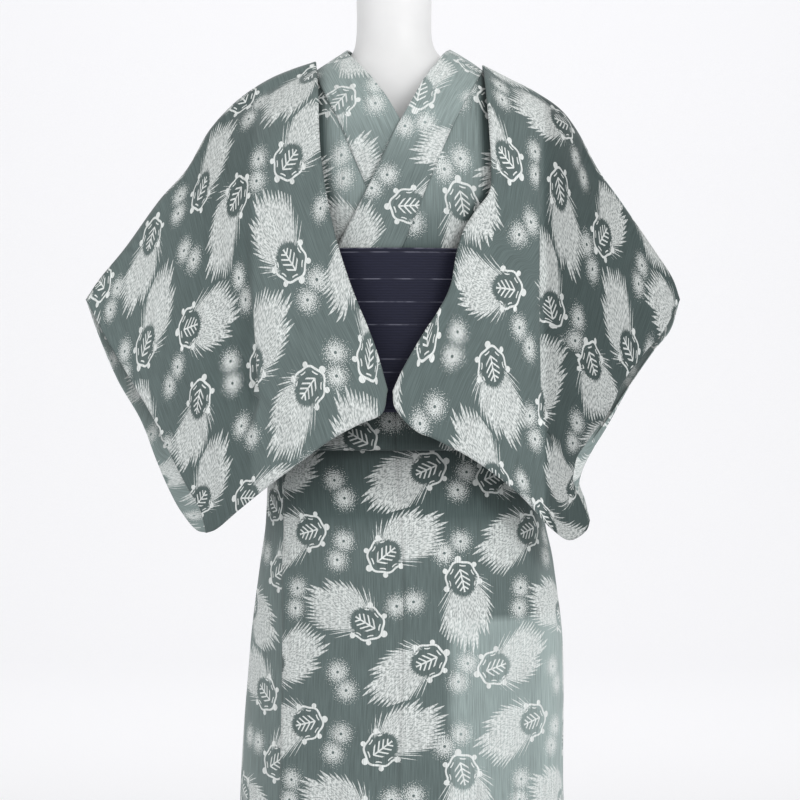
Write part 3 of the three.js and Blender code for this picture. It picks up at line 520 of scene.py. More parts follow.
def creased(points, u, v, table):
    """Moves a grid along its normals by height exp(-(d / width)^2) sqrt(sin(pi share)) for each crease.

    d is the distance from the crease, and the share is the way along it, so that it fades at both ends.
    """
    down = np.gradient(points, axis=0)
    across = np.gradient(points, axis=1)
    normal = unit(np.cross(across, down))
    normal *= np.where(normal[..., 1:2] * points[..., 1:2] < 0, -1, 1)
    rise = np.zeros(points.shape[:2])
    columns = ("u0", "v0", "u1", "v1", "width", "height")
    for u0, v0, u1, v1, width, height in zip(*(table[key] for key in columns)):
        along = np.array([u1 - u0, v1 - v0], float)
        share = np.clip(((u - u0) * along[0] + (v - v0) * along[1]) / (along @ along), 0, 1)
        distance = np.hypot(u - u0 - share * along[0], v - v0 - share * along[1])
        rise += height * np.exp(-(distance / width) ** 2) * np.sin(np.pi * share) ** 0.5
    return points + normal * rise[..., None]


def flat_lengths(points):
    """Flat cloth places of a grid: u is the length along each row, v the mean length up the columns."""
    across = np.linalg.norm(np.diff(points, axis=1), axis=-1)
    up = np.linalg.norm(np.diff(points, axis=0), axis=-1).mean(axis=1)
    u = np.concatenate([np.zeros((len(points), 1)), np.cumsum(across, axis=1)], axis=1)
    v = np.concatenate([[0], np.cumsum(up)])[:, None] + 0 * u
    return u, v


def new_object(name, points, faces):
    """Smooth mesh object of points in millimetres and faces, put in the scene."""
    mesh = bpy.data.meshes.new(name)
    mesh.from_pydata((points * MM).tolist(), [], faces)
    mesh.polygons.foreach_set("use_smooth", np.ones(len(faces), bool))
    mesh.update()
    made = bpy.data.objects.new(name, mesh)
    bpy.context.scene.collection.objects.link(made)
    return made


def grid_piece(name, grids, wall, place=(0, 0)):
    """Joins grids of points into one cloth with a wall.

    Each grid is (points, u, v, painted light share). Points closer than 0.02 mm become one. The places
    u and v, moved to the piece's place on the bolt, go to the UV map in metres, and the painted light
    share to an attribute.
    """
    points, flats, painted_lights, faces = [], [], [], []
    start = 0
    for grid, u, v, painted_light in grids:
        rows, columns = grid.shape[:2]
        index = np.arange(start, start + rows * columns).reshape(rows, columns)
        corners = [index[:-1, :-1], index[:-1, 1:], index[1:, 1:], index[1:, :-1]]
        faces.append(np.stack(corners, axis=-1).reshape(-1, 4))
        points.append(grid.reshape(-1, 3))
        flats.append(np.stack([u, v], axis=-1).reshape(-1, 2))
        painted_lights.append((painted_light + 0 * u).reshape(-1))
        start += rows * columns
    points, flats, painted_lights, faces = (np.concatenate(part) for part in (points, flats, painted_lights, faces))
    flats = flats + np.array(place, float)
    keys = np.round(points / JOIN_DISTANCE).astype(np.int64)
    _, first, joined = np.unique(keys, axis=0, return_index=True, return_inverse=True)
    joined = joined.reshape(-1)
    faces_joined = joined[faces]
    ordered = np.sort(faces_joined, axis=1)
    whole = (np.diff(ordered, axis=1) != 0).all(axis=1)
    faces, faces_joined = faces[whole], faces_joined[whole]
    piece = new_object(name, points[first], faces_joined.tolist())
    layer = piece.data.uv_layers.new(name="cloth")
    layer.data.foreach_set("uv", (flats[faces] * MM).astype(np.float32).ravel())
    attribute = piece.data.attributes.new("painted_light", "FLOAT", "POINT")
    attribute.data.foreach_set("value", painted_lights[first].astype(np.float32))
    solidify = piece.modifiers.new("wall", "SOLIDIFY")
    solidify.thickness = wall
    solidify.offset = 0
    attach(piece, "root")
    return piece


def ring_piece(name, slot, z, half_width, half_depth, x=0, y=0):
    """Closed surface through level ellipses, at x + a cos turn and y + b sin turn for each height z.

    Each argument but the name and slot is a number or a column. The slot is not used. A centre point
    closes each end.
    """
    turn = np.linspace(0, 2 * np.pi, RING_SIDES, endpoint=False)[None, :]
    rings = np.stack([x + half_width * np.cos(turn), y + half_depth * np.sin(turn), z + 0 * turn], axis=-1)
    rows, sides = rings.shape[:2]
    index = np.arange(rows * sides).reshape(rows, sides)
    ahead = np.roll(index, -1, axis=1)
    quads = np.stack([index[:-1], ahead[:-1], ahead[1:], index[1:]], axis=-1).reshape(-1, 4)
    ends = np.stack([rings[0].mean(axis=0), rings[-1].mean(axis=0)])
    low = np.stack([np.full(sides, rows * sides), ahead[0], index[0]], axis=-1)
    high = np.stack([np.full(sides, rows * sides + 1), index[-1], ahead[-1]], axis=-1)
    points = np.concatenate([rings.reshape(-1, 3), ends])
    piece = new_object(name, points, quads.tolist() + low.tolist() + high.tolist())
    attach(piece, "root")
    return piece


def add(tree, kind, *values, named=None, **settings):
    """Adds a shader node with its settings and links, and returns its first output that is in use.

    Values go to the inputs in order, and named ones by name or number. Each is a link or a constant.
    """
    node = tree.nodes.new("ShaderNode" + kind)
    for key, value in settings.items():
        setattr(node, key, value)
    pairs = [*zip(node.inputs, values)]
    pairs += [(node.inputs[key], value) for key, value in (named or {}).items()]
    for socket, value in pairs:
        if isinstance(value, bpy.types.NodeSocket):
            tree.links.new(value, socket)
        else:
            socket.default_value = value
    return next((output for output in node.outputs if output.enabled), None)


def new_material(name):
    """Empty material with nodes, and its tree."""
    material = bpy.data.materials.new(name)
    material.use_nodes = True
    material.node_tree.nodes.clear()
    return material, material.node_tree


def finish_material(tree, colour, height, bump, own):
    """Ends a material: its colour, its own values and a bump go to one Principled shader.

    The bump is given by its strength and its distance in millimetres.
    """
    relief = {"Strength": bump[0], "Distance": bump[1] * MM, "Height": height}
    normal = add(tree, "Bump", named=relief)
    surface = add(tree, "BsdfPrincipled", named={"Base Color": colour, "Normal": normal} | own)
    add(tree, "OutputMaterial", surface)


def over_halves(tree, place, halves):
    """Length of a place's x and y over an ellipse's halves: 0 in its middle and 1 on its edge."""
    inverse = (1 / halves[0], 1 / halves[1], 0)
    scaled = add(tree, "VectorMath", place, inverse, operation="MULTIPLY")
    return add(tree, "VectorMath", scaled, operation="LENGTH")


def nearest_figure(tree, in_mm, table):
    """Place in the frame of the charted figure that is nearest, by the length of x and y over its halves.

    The repeat wraps both ways, so each figure is whole wherever the cloth is cut.
    """
    far = (REPEAT[0] / 2, REPEAT[1] / 2, 1)
    near = (-far[0], -far[1], -1)
    shrink = 1 / table["size"]
    nearest = None
    for x, y, turn, flip in zip(*(table[key] for key in ("x", "y", "turn", "flip"))):
        moved = add(tree, "VectorMath", in_mm, (-x, -y, 0), operation="ADD")
        moved = add(tree, "VectorMath", moved, far, near, operation="WRAP")
        angle = {"Angle": -np.radians(turn)}
        turned = add(tree, "VectorRotate", moved, named=angle, rotation_type="Z_AXIS")
        own_size = (shrink, flip * shrink, 0)
        local = add(tree, "VectorMath", turned, own_size, operation="MULTIPLY")
        length = over_halves(tree, local, table["half"])
        if nearest is None:
            nearest, best = local, length
            continue
        closer = add(tree, "Math", length, best, operation="LESS_THAN")
        best = add(tree, "Math", length, best, operation="MINIMUM")
        nearest = add(tree, "Mix", closer, named={4: nearest, 5: local}, data_type="VECTOR")
    return nearest


def tortoise(tree, place):
    """White share and shell share of one long-tailed tortoise, whose head points along +x.

    The shell is a dark ellipse with leaf veins, stripes of x + 0.9 |y|. A wavy ring with five knobs
    goes round its front. The tail is an ellipse behind, combed into hairs by the angle from a point
    in the shell. Each hair narrows to its own length, from white noise of its number.
    """
    shell_place = add(tree, "VectorMath", place, (-SHELL_AHEAD, 0, 0), operation="ADD")
    x, y = add(tree, "SeparateXYZ", shell_place).node.outputs[:2]
    side = add(tree, "Math", y, operation="ABSOLUTE")
    radius = over_halves(tree, shell_place, SHELL)
    shell = add(tree, "Math", radius, SHELL_EDGE, operation="LESS_THAN")

    slant = add(tree, "Math", side, 0.9, x, operation="MULTIPLY_ADD")
    stripes = add(tree, "Math", slant, VEIN_STEP, operation="PINGPONG")
    vein = add(tree, "Math", stripes, VEIN_WIDTH, operation="LESS_THAN")
    spine = add(tree, "Math", side, SPINE_WIDTH, operation="LESS_THAN")
    leaf = add(tree, "Math", vein, spine, operation="MAXIMUM")
    leaf_radius = over_halves(tree, shell_place, LEAF)
    leaf_area = add(tree, "Math", leaf_radius, 1, operation="LESS_THAN")
    leaf = add(tree, "Math", leaf, leaf_area, operation="MULTIPLY")

    round_turn = add(tree, "Math", y, x, operation="ARCTAN2")
    waves = add(tree, "Math", round_turn, RING_WAVES, operation="MULTIPLY")
    waves = add(tree, "Math", waves, operation="SINE")
    wavy = add(tree, "Math", waves, 0.06, radius, operation="MULTIPLY_ADD")
    ring = add(tree, "Math", wavy, RING_RADIUS, 0.085, operation="COMPARE")
    dashes = add(tree, "Math", wavy, SHELL_EDGE, 0.05, operation="COMPARE")
    gaps = add(tree, "Math", waves, 0.1, operation="GREATER_THAN")
    dashes = add(tree, "Math", dashes, gaps, operation="MULTIPLY")
    ring = add(tree, "Math", ring, dashes, operation="MAXIMUM")
    ahead = add(tree, "Math", x, RING_END, operation="GREATER_THAN")
    ring = add(tree, "Math", ring, ahead, operation="MULTIPLY")
    white = add(tree, "Math", ring, leaf, operation="MAXIMUM")
    folded = add(tree, "CombineXYZ", x, side)
    for centre, size in KNOBS:
        away = add(tree, "VectorMath", folded, (*centre, 0), operation="DISTANCE")
        knob = add(tree, "Math", away, size, operation="LESS_THAN")
        white = add(tree, "Math", white, knob, operation="MAXIMUM")

    back = add(tree, "Math", x, -1, TAIL_ROOT, operation="MULTIPLY_ADD")
    bend = add(tree, "Math", back, 2, operation="POWER")
    bent = add(tree, "Math", bend, TAIL_BEND, y, operation="MULTIPLY_ADD")
    turn = add(tree, "Math", bent, back, operation="ARCTAN2")
    tail_place = add(tree, "CombineXYZ", back, bent)
    reach = add(tree, "VectorMath", tail_place, operation="LENGTH")
    centred = add(tree, "VectorMath", tail_place, (*TAIL_MIDDLE, 0), operation="SUBTRACT")
    oval = over_halves(tree, centred, TAIL)
    combed = add(tree, "Math", turn, HAIRS, operation="MULTIPLY")
    number = add(tree, "Math", combed, operation="FLOOR")
    own = add(tree, "TexWhiteNoise", named={"W": number}, noise_dimensions="1D")
    tip = add(tree, "Math", own, 0.36, 0.95, operation="MULTIPLY_ADD")
    left_over = add(tree, "Math", tip, oval, operation="SUBTRACT")
    left_over = add(tree, "Math", left_over, 3, operation="MULTIPLY")
    across = add(tree, "Math", combed, 0.5, operation="PINGPONG")
    across = add(tree, "Math", across, -2, 1, operation="MULTIPLY_ADD")
    tail = add(tree, "Math", across, left_over, operation="LESS_THAN")
    strokes_turn = add(tree, "Math", turn, STROKES[0], operation="MULTIPLY")
    strokes_reach = add(tree, "Math", reach, STROKES[1], operation="MULTIPLY")
    strokes_place = add(tree, "CombineXYZ", strokes_turn, strokes_reach)
    plain = {"Scale": 1, "Detail": 1}
    strokes = add(tree, "TexNoise", strokes_place, named=plain, noise_dimensions="2D")
    shaded = add(tree, "MapRange", strokes, 0.36, 0.56, 0.38, 0.95)
    roots = add(tree, "Math", strokes, 0.5, radius, operation="MULTIPLY_ADD")
    roots = add(tree, "MapRange", roots, 1.45, 1.6, 0, 1)
    behind = add(tree, "Math", x, 2, operation="LESS_THAN")
    for share in (shaded, roots, behind):
        tail = add(tree, "Math", tail, share, operation="MULTIPLY")
    return add(tree, "Math", white, tail, operation="MAXIMUM"), shell


def stippled_rounds(tree, in_mm):
    """White share of two soft rounds side by side, fading by dots, with a small dark eye in each."""
    x, y = add(tree, "SeparateXYZ", nearest_figure(tree, in_mm, ROUNDS)).node.outputs[:2]
    x = add(tree, "Math", x, operation="ABSOLUTE")
    x = add(tree, "Math", x, ROUND_APART, operation="SUBTRACT")
    place = add(tree, "CombineXYZ", x, y)
    radius = add(tree, "VectorMath", place, operation="LENGTH")
    dots = {"Scale": 0.9, "Detail": 0}
    stipple = add(tree, "TexNoise", in_mm, named=dots, noise_dimensions="2D")
    faded = add(tree, "Math", stipple, 24, radius, operation="MULTIPLY_ADD")
    faded = add(tree, "MapRange", faded, 22.5, 19, 0, 0.85)
    eye = add(tree, "Math", radius, ROUND_EYE, operation="GREATER_THAN")
    return add(tree, "Math", faded, eye, operation="MULTIPLY")


def cloth_material(settings):
    """Summer cotton, woven with slubs and resist-dyed: a soft matt ground with undyed white figures.

    The figures are long-tailed tortoises and pairs of stippled rounds, charted in one repeat. The
    threads run along v, 0.5 mm apart in life and drawn about 1.1 mm apart, as fine streaks. Where the
    painted light share is high one layer lies alone, and the light of the pale room behind it is painted
    in as a lighter tone. Below zero the share is painted shade instead, where layers lie close together
    under the sleeves.
    """
    material, tree = new_material("resist_dyed_sheer_cotton")
    flat = add(tree, "UVMap", uv_map="cloth")
    in_mm = add(tree, "VectorMath", flat, (1 / MM, 1 / MM, 0), operation="MULTIPLY")
    white, shell = tortoise(tree, nearest_figure(tree, in_mm, TORTOISES))
    rounds = stippled_rounds(tree, in_mm)
    white = add(tree, "Math", white, rounds, operation="MAXIMUM")
    dark = add(tree, "Math", shell, SHELL_DARK, operation="MULTIPLY")

    place = add(tree, "VectorMath", in_mm, CLOTH_STREAKS, operation="MULTIPLY")
    streaks = add(tree, "TexNoise", place, named=THREADS, noise_dimensions="2D")
    painted_light = add(tree, "Attribute", attribute_name="painted_light").node.outputs["Fac"]
    colour = (*settings.ground, 1)
    # Mixed in turn: painted light where one layer lets the room's light through, the dark shells, the
    # white figures
    for share, other in ((painted_light, settings.painted_light), (dark, settings.shell), (white, settings.white)):
        both = {"A": colour, "B": (*other, 1)}
        colour = add(tree, "Mix", share, named=both, data_type="RGBA")
    tone = add(tree, "MapRange", streaks, 0.3, 0.7, *CLOTH_CONTRAST)
    # Painted shade: where the share is below zero the colour is darkened by 0.7 times it
    shade = add(tree, "Math", painted_light, 0, operation="MINIMUM")
    shade = add(tree, "Math", shade, 0.7, 1, operation="MULTIPLY_ADD")
    tone = add(tree, "Math", tone, shade, operation="MULTIPLY")
    woven = add(tree, "VectorMath", colour, named={"Scale": tone}, operation="SCALE")
    finish_material(tree, woven, streaks, (0.25, 0.3), {
        "Roughness": 0.85, "IOR": 1.5, "Specular IOR Level": 0.2,
        "Sheen Weight": 0.1, "Sheen Roughness": 0.5,
    })
    return material


def belt_material(settings):
    """Cotton belt, woven with a weft rib and thin silver lines: navy, dull, with broken pale threads.

    The rib is 1.4 mm in life and drawn 3 mm apart. The lines lie at set depths from the top edge.
    """
    material, tree = new_material("ribbed_navy_cotton")
    flat = add(tree, "UVMap", uv_map="cloth")
    v = add(tree, "SeparateXYZ", flat).node.outputs[1]
    depth = add(tree, "Math", v, 1 / MM, operation="MULTIPLY")
    rib = add(tree, "Math", depth, RIB_STEP / 2, operation="PINGPONG")
    place = add(tree, "VectorMath", flat, (60, 900, 0), operation="MULTIPLY")
    thread = add(tree, "TexNoise", place, named=THREADS, noise_dimensions="2D")
    # The tone follows the rib's height: painted shade in its grooves, lighter on its crests
    tone = add(tree, "Math", rib, 0.16, 0.7, operation="MULTIPLY_ADD")
    tone = add(tree, "Math", thread, 0.5, tone, operation="MULTIPLY_ADD")
    ground = (*settings.ground,)
    navy = add(tree, "VectorMath", ground, named={"Scale": tone}, operation="SCALE")
    place = add(tree, "VectorMath", flat, (55, 9, 0), operation="MULTIPLY")
    broken = add(tree, "TexNoise", place, named=THREADS, noise_dimensions="2D")
    strength = add(tree, "MapRange", broken, 0.38, 0.6, *BELT_LINE_STRENGTH)
    lines = 0
    for mark in BELT_LINES:
        line = add(tree, "Math", depth, mark, 0.6, operation="COMPARE")
        lines = add(tree, "Math", lines, line, operation="MAXIMUM")
    lines = add(tree, "Math", lines, strength, operation="MULTIPLY")
    both = {"A": navy, "B": (*settings.silver, 1)}
    colour = add(tree, "Mix", lines, named=both, data_type="RGBA")
    finish_material(tree, colour, rib, (0.4, 0.5), {
        "Roughness": 0.7, "Specular IOR Level": 0.3, "Sheen Weight": 0.08,
    })
    return material


def painted_material(name, colour, roughness, bump_scale):
    """Smooth painted or moulded white: a faint waviness in its gloss and nothing else."""
    material, tree = new_material(name)
    place = add(tree, "TexCoord").node.outputs["Object"]
    wave = add(tree, "TexNoise", place, named={"Scale": bump_scale})
    tone = add(tree, "MapRange", wave, 0.3, 0.7, 0.985, 1.015)
    tint = add(tree, "VectorMath", (*colour,), named={"Scale": tone}, operation="SCALE")
    finish_material(tree, tint, wave, (0.05, 0.3), {"Roughness": roughness, "IOR": 1.46})
    return material


def shared_cloth():
    """The kimono's cloth, made once."""
    made = bpy.data.materials.get("resist_dyed_sheer_cotton")
    return made or cloth_material(bpy.context.scene.kimono_cloth)


def with_bodice(lower, side, face, share, way, inner_x, layer_offset):
    """Adds a bodice's rows to a panel's lower rows.

    The share is 0 at the collar or neck and 1 at the armhole. x moves from its share of the lower
    rows' last to its even share between the two.
    """
    start = side * lower[-1, :, 0][None, :]
    start_share = (start - start.min()) / (start.max() - start.min())
    x = inner_x + (armhole_x(way) - inner_x) * (start_share + (share - start_share) * way)
    return np.concatenate([lower, bodice_point(x, way + 0 * x, face, side, layer_offset)])


def front_panel(side, place, columns):
    """Front of a body length: wrapped rows to the chest, then rows between collar and armhole.

    Up to the chest a column keeps its share of the angle.
    """
    share = np.linspace(0, 1, columns + 1)[None, :]
    z, layer, fold = body_rows()
    chest = smooth_step(z, ARMHOLE_BOTTOM, CHEST_HEIGHT)
    chest_half = read(FIGURE, "z", CHEST_HEIGHT, "half_width")
    chest_inner = np.degrees(np.arcsin(read(COLLAR[place], "way", 0, "x") / chest_half))
    outer = read(SIDE_SEAM, "z", z, "angle") - ARMHOLE_ANGLE * chest
    inner = -SKIRT_INNER_ANGLE * (1 - chest) + chest * chest_inner
    lower = wrapped(z, layer, fold, inner + (outer - inner) * share, side, place)
    way = np.linspace(0, 1, BODICE_ROWS)[1:, None]
    seam = read(COLLAR[place], "way", way, "x")
    offset = layer_out(2, place, overlap_weight(90 * share))
    return with_bodice(lower, side, -1, share, way, seam, offset)


def back_panel(side, place, columns):
    """Back of a body length, from the side seam or armhole to the middle of the back."""
    share = np.linspace(0, 1, columns + 1)[None, :]
    z, layer, fold = body_rows()
    chest = smooth_step(z, ARMHOLE_BOTTOM, CHEST_HEIGHT)
    outer = read(SIDE_SEAM, "z", z, "angle") + ARMHOLE_ANGLE * chest
    lower = wrapped(z, layer, fold, outer + (180 - outer) * share, side, place)
    way = np.linspace(0, 1, BODICE_ROWS)[1:, None]
    shoulder = COLLAR[place]["x"][-1]
    neck = np.interp(way, BACK_NECK["way"] + [1], BACK_NECK["x"] + [shoulder])
    return with_bodice(lower, side, 1, 1 - share, way, neck, layer_out(2, "alone", 0))


class KIMONO_OT_body(bpy.types.Operator):
    """Build the two body lengths, front and back in one cloth over the shoulder"""

    bl_idname = "kimono.body"
    bl_label = "Body lengths"

    def execute(self, context):
        settings = context.scene.kimono_cloth
        for name, side, place in (("right", -1, "under"), ("left", 1, "over")):
            front = front_panel(side, place, FRONT_COLUMNS)
            back = back_panel(side, place, BACK_COLUMNS)
            front_u, front_v = flat_lengths(front)
            front_u = front_u + side * front[:, :1, 0]
            back_u, back_v = flat_lengths(back)
            back_u = back_u + front_u[:, -1:]
            back_v = front_v[:, :1] + 0 * back_u
            front = creased(front, front_u, front_v, SKIRT_CREASES[name])
            back = creased(back, back_u, back_v, SKIRT_CREASES[name])
            # Painted light shares: the back's own meets the front's at the side seam, over 70 mm
            front_painted_light = body_painted_light(front, name)
            near_seam = 1 - smooth_step(np.abs(back_u - back_u[:, :1]), 0, 70)
            back_painted_light = BACK_PAINTED_LIGHT + (front_painted_light[:, -1:] - BACK_PAINTED_LIGHT) * near_seam
            grids = [(front, front_u, front_v, front_painted_light), (back, back_u, back_v, back_painted_light)]
            piece = grid_piece(f"cloth_body_{name}", grids, settings.wall, BOLT_PLACES[name])
            piece.data.materials.append(shared_cloth())
            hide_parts(f"body_{name}")
        return {"FINISHED"}


def sleeve_shade(points, name, side):
    """Shade beside a sleeve's inner edge: full behind the sleeve, gone 18 mm from it to the middle."""
    inner = np.array(SLEEVES[name]["inner"])[::-1]
    z = points[..., 2]
    edge = np.interp(z, inner[:, 2], side * inner[:, 0])
    return smooth_step(side * points[..., 0], edge - 18, edge + 2) * smooth_step(z, 955, 1000)


def under_sleeves(z):
    """Shade on the cloth under the sleeves: it grows over z 780 to 900 and fades over 960 to 1100."""
    return smooth_step(z, 780, 900) * (1 - smooth_step(z, 960, 1100))


def over_front_painted_light(z):
    """Painted light and shade share of the front on top, where no edge of a lower layer shows through."""
    return 0.15 * (1 - smooth_step(z, 800, 880)) - 0.7 * under_sleeves(z)


def body_painted_light(points, name):
    """Painted light share of a front: painted light where it lies alone, darker where layers lie behind
    it.

    The right one is 0.3, with more at its side edge and on the chest, less the painted shades. The left
    one is the painted light share of the cloth on top, with more below the layers' edge, at its side edge
    and on the chest.
    """
    x, z = points[..., 0], points[..., 2]
    chest = smooth_step(z, 1090, 1200)
    if name == "right":
        alone = 0.3 + 0.15 * smooth_step(-x, 150, 185) + 0.3 * chest
        return alone - 0.95 * under_sleeves(z) - 0.9 * sleeve_shade(points, name, -1)
    lower = smooth_step(x, 50, 66) * (1 - smooth_step(z, 694, 702))
    edge = smooth_step(x, 150, 172) * (1 - smooth_step(z, 800, 900))
    layers = 0.55 * lower + 0.25 * edge + 0.45 * chest
    return over_front_painted_light(z) + layers - sleeve_shade(points, name, 1)


class KIMONO_OT_overlaps(bpy.types.Operator):
    """Build the two front overlaps beyond the fronts' inner edges"""

    bl_idname = "kimono.overlaps"
    bl_label = "Front overlaps"

    def execute(self, context):
        settings = context.scene.kimono_cloth
        share = np.linspace(0, 1, OVERLAP_COLUMNS)[None, :]
        for name, side, place in (("right", -1, "under"), ("left", 1, "over")):
            z, layer, fold = body_rows()
            kept = z[:, 0] <= OVERLAP_TOP
            z, layer, fold = z[kept], layer[kept], fold[kept]
            free = read(OVERLAP_EDGE, "z", z, "angle")
            angle = -SKIRT_INNER_ANGLE - (free - SKIRT_INNER_ANGLE) * share
            points = wrapped(z, layer, fold, angle, side, place)
            u, v = flat_lengths(points)
            # Painted light and shade as on the front on top
            grids = [(points, -u, v, over_front_painted_light(points[..., 2]))]
            piece = grid_piece(f"cloth_overlap_{name}", grids, settings.wall, BOLT_PLACES[name])
            piece.data.materials.append(shared_cloth())
            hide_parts(f"overlap_{name}")
        return {"FINISHED"}


def collar_front(side, place):
    """Collar on one front, by rows up the bodice and columns from its seam to its free edge.

    The free edge lies a width square to the seam in the front view. Each point lies on the bodice.
    """
    way = np.linspace(COLLAR_WAY[0], 1, COLLAR_ROWS)[:, None]
    seam = np.concatenate([read(COLLAR[place], "way", way, "x"), way], axis=1)
    seam[:, 1] = CHEST_HEIGHT + (shoulder_height(seam[:, 0]) - CHEST_HEIGHT) * way[:, 0]
    along = unit(np.gradient(seam, axis=0))
    inward = np.stack([-along[:, 1], along[:, 0]], axis=1)
    width = read(COLLAR[place], "way", way[:, 0], "width")
    share = np.linspace(COLLAR_START, 1, COLLAR_COLUMNS)
    flat = seam[:, None, :] + inward[:, None, :] * (width[:, None] * share[None, :])[..., None]
    x, z = flat[..., 0], flat[..., 1]
    out = layer_out(2, place, 1)
    depth = bodice_depth(x, z, out * (1 - way ** 2)) + chest_lift(way, out)
    lift = 0.9 + 2 * np.maximum(share, 0)[None, :] * smooth_step(way, 0.5, 1)
    return np.stack([side * x, -depth - lift, z], axis=-1)


def collar_back(side):
    """Collar behind the neck, from the middle of the back to the shoulder line, a straight band."""
    x = np.linspace(0, BACK_NECK["x"][-1], NECK_ROWS)
    way = read(BACK_NECK, "x", x, "way")
    seam = bodice_point(x, way, 1, side, layer_out(2, "alone", 0))
    edge = np.stack([side * read(BACK_NECK, "x", x, "edge_x"), read(BACK_NECK, "x", x, "edge_y"),
                     read(BACK_NECK, "x", x, "edge_z")], axis=-1)
    share = np.linspace(COLLAR_START, 1, COLLAR_COLUMNS)[None, :, None]
    return seam[:, None, :] + (edge - seam)[:, None, :] * share


def blended_join(first, second, count):
    """Rows that carry one grid's last row smoothly to another's first: a cubic between them."""
    t = np.linspace(0, 1, count + 2)[1:-1, None, None]
    start, finish = first[-1], second[0]
    gap = np.linalg.norm(finish - start, axis=-1, keepdims=True)
    leave = unit(first[-1] - first[-3]) * gap
    arrive = unit(second[2] - second[0]) * gap
    return np.concatenate([first, cubic(t, start, leave, finish, arrive), second])


class KIMONO_OT_collar(bpy.types.Operator):
    """Build the collar, one folded band down both fronts and round the neck"""

    bl_idname = "kimono.collar"
    bl_label = "Collar"

    def execute(self, context):
        settings = context.scene.kimono_cloth
        right = blended_join(collar_front(-1, "under"), collar_back(-1)[::-1], JOIN_ROWS)
        left = blended_join(collar_back(1), collar_front(1, "over")[::-1], JOIN_ROWS)
        points = np.concatenate([right, left[1:]])
        u, v = flat_lengths(points)
        # Painted light, more towards the collar's top, less painted shade beside the sleeves' inner edges
        painted_light = COLLAR_PAINTED_LIGHT + COLLAR_PAINTED_LIGHT_RISE * smooth_step(points[..., 2], 1190, 1290)
        for name, way in (("right", -1), ("left", 1)):
            painted_light = painted_light - COLLAR_SHADE * sleeve_shade(points, name, way)
        grids = [(points, u, v, painted_light)]
        piece = grid_piece("cloth_collar", grids, settings.collar_wall, BOLT_PLACES["collar"])
        piece.data.materials.append(shared_cloth())
        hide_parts("collar")
        return {"FINISHED"}


def mixed(s, low, high, first, second):
    """Point at s on the line through first at low and second at high."""
    return (high - s) / (high - low) * first + (s - low) / (high - low) * second


def space_curve(table):
    """Smooth curve through a table of places, read by its share of the length.

    Each stretch mixes lines through four places, three times over, on knots that lie the square root
    of the distance apart. The end points are mirrored outwards.
    """
    p = np.array(table, float)
    p = np.concatenate([[2 * p[0] - p[1]], p, [2 * p[-1] - p[-2]]])
    t = np.concatenate([[0], np.cumsum(np.linalg.norm(np.diff(p, axis=0), axis=1) ** 0.5)])
    places = []
    for k in range(1, len(p) - 2):
        s = np.linspace(t[k], t[k + 1], CURVE_STEPS, endpoint=False)[:, None]
        a1, a2, a3 = (mixed(s, t[j], t[j + 1], p[j], p[j + 1]) for j in (k - 1, k, k + 1))
        b1 = mixed(s, t[k - 1], t[k + 1], a1, a2)
        b2 = mixed(s, t[k], t[k + 2], a2, a3)
        places.append(mixed(s, t[k], t[k + 1], b1, b2))
    places = np.concatenate([*places, p[-2:-1]])
    length = np.concatenate([[0], np.cumsum(np.linalg.norm(np.diff(places, axis=0), axis=1))])
    share = length / length[-1]
    return lambda at: np.stack([np.interp(at, share, places[:, k]) for k in range(3)], axis=-1)


def patch_point(top, bottom, inner, outer, across, down):
    """Patch between four edges: ruled surfaces between the facing edges, less that of the corners."""
    a, d = across[..., None], down[..., None]
    zero, one = 0 * across, 0 * across + 1
    return (top(across) * (1 - d) + bottom(across) * d + inner(down) * (1 - a) + outer(down) * a
            - top(zero) * (1 - a) * (1 - d) - top(one) * a * (1 - d)
            - bottom(zero) * (1 - a) * d - bottom(one) * a * d)


def dressed_depth(x, z):
    """Depth of the dressed body before its middle plane: bodice above, belt and skirt below."""
    way = np.clip((z - CHEST_HEIGHT) / (shoulder_height(x) - CHEST_HEIGHT), 0, 1)
    out = layer_out(2, "over", 1)
    bodice = bodice_depth(x, z, 0) + out * (1 - way ** 2) + chest_lift(way, out)
    turns = BELT_TURNS * BELT_TURN_STEP
    a = read(FIGURE, "z", z, "half_width") + BELT_REST + turns
    b = read(FIGURE, "z", z, "half_depth") + BELT_REST_FRONT + turns
    return np.where(z > BELT_TOP, bodice, b * np.sqrt(np.maximum(0, 1 - (x / a) ** 2)))


def shoulder_slant(x, z):
    """How much longer a gap is along Y than square to the cloth near the shoulder line."""
    rise = np.clip(1 - (shoulder_height(x) - z) / SHOULDER_CAP, 0, 1)
    return 1 / np.maximum(0.5, np.sqrt(1 - rise ** 2))


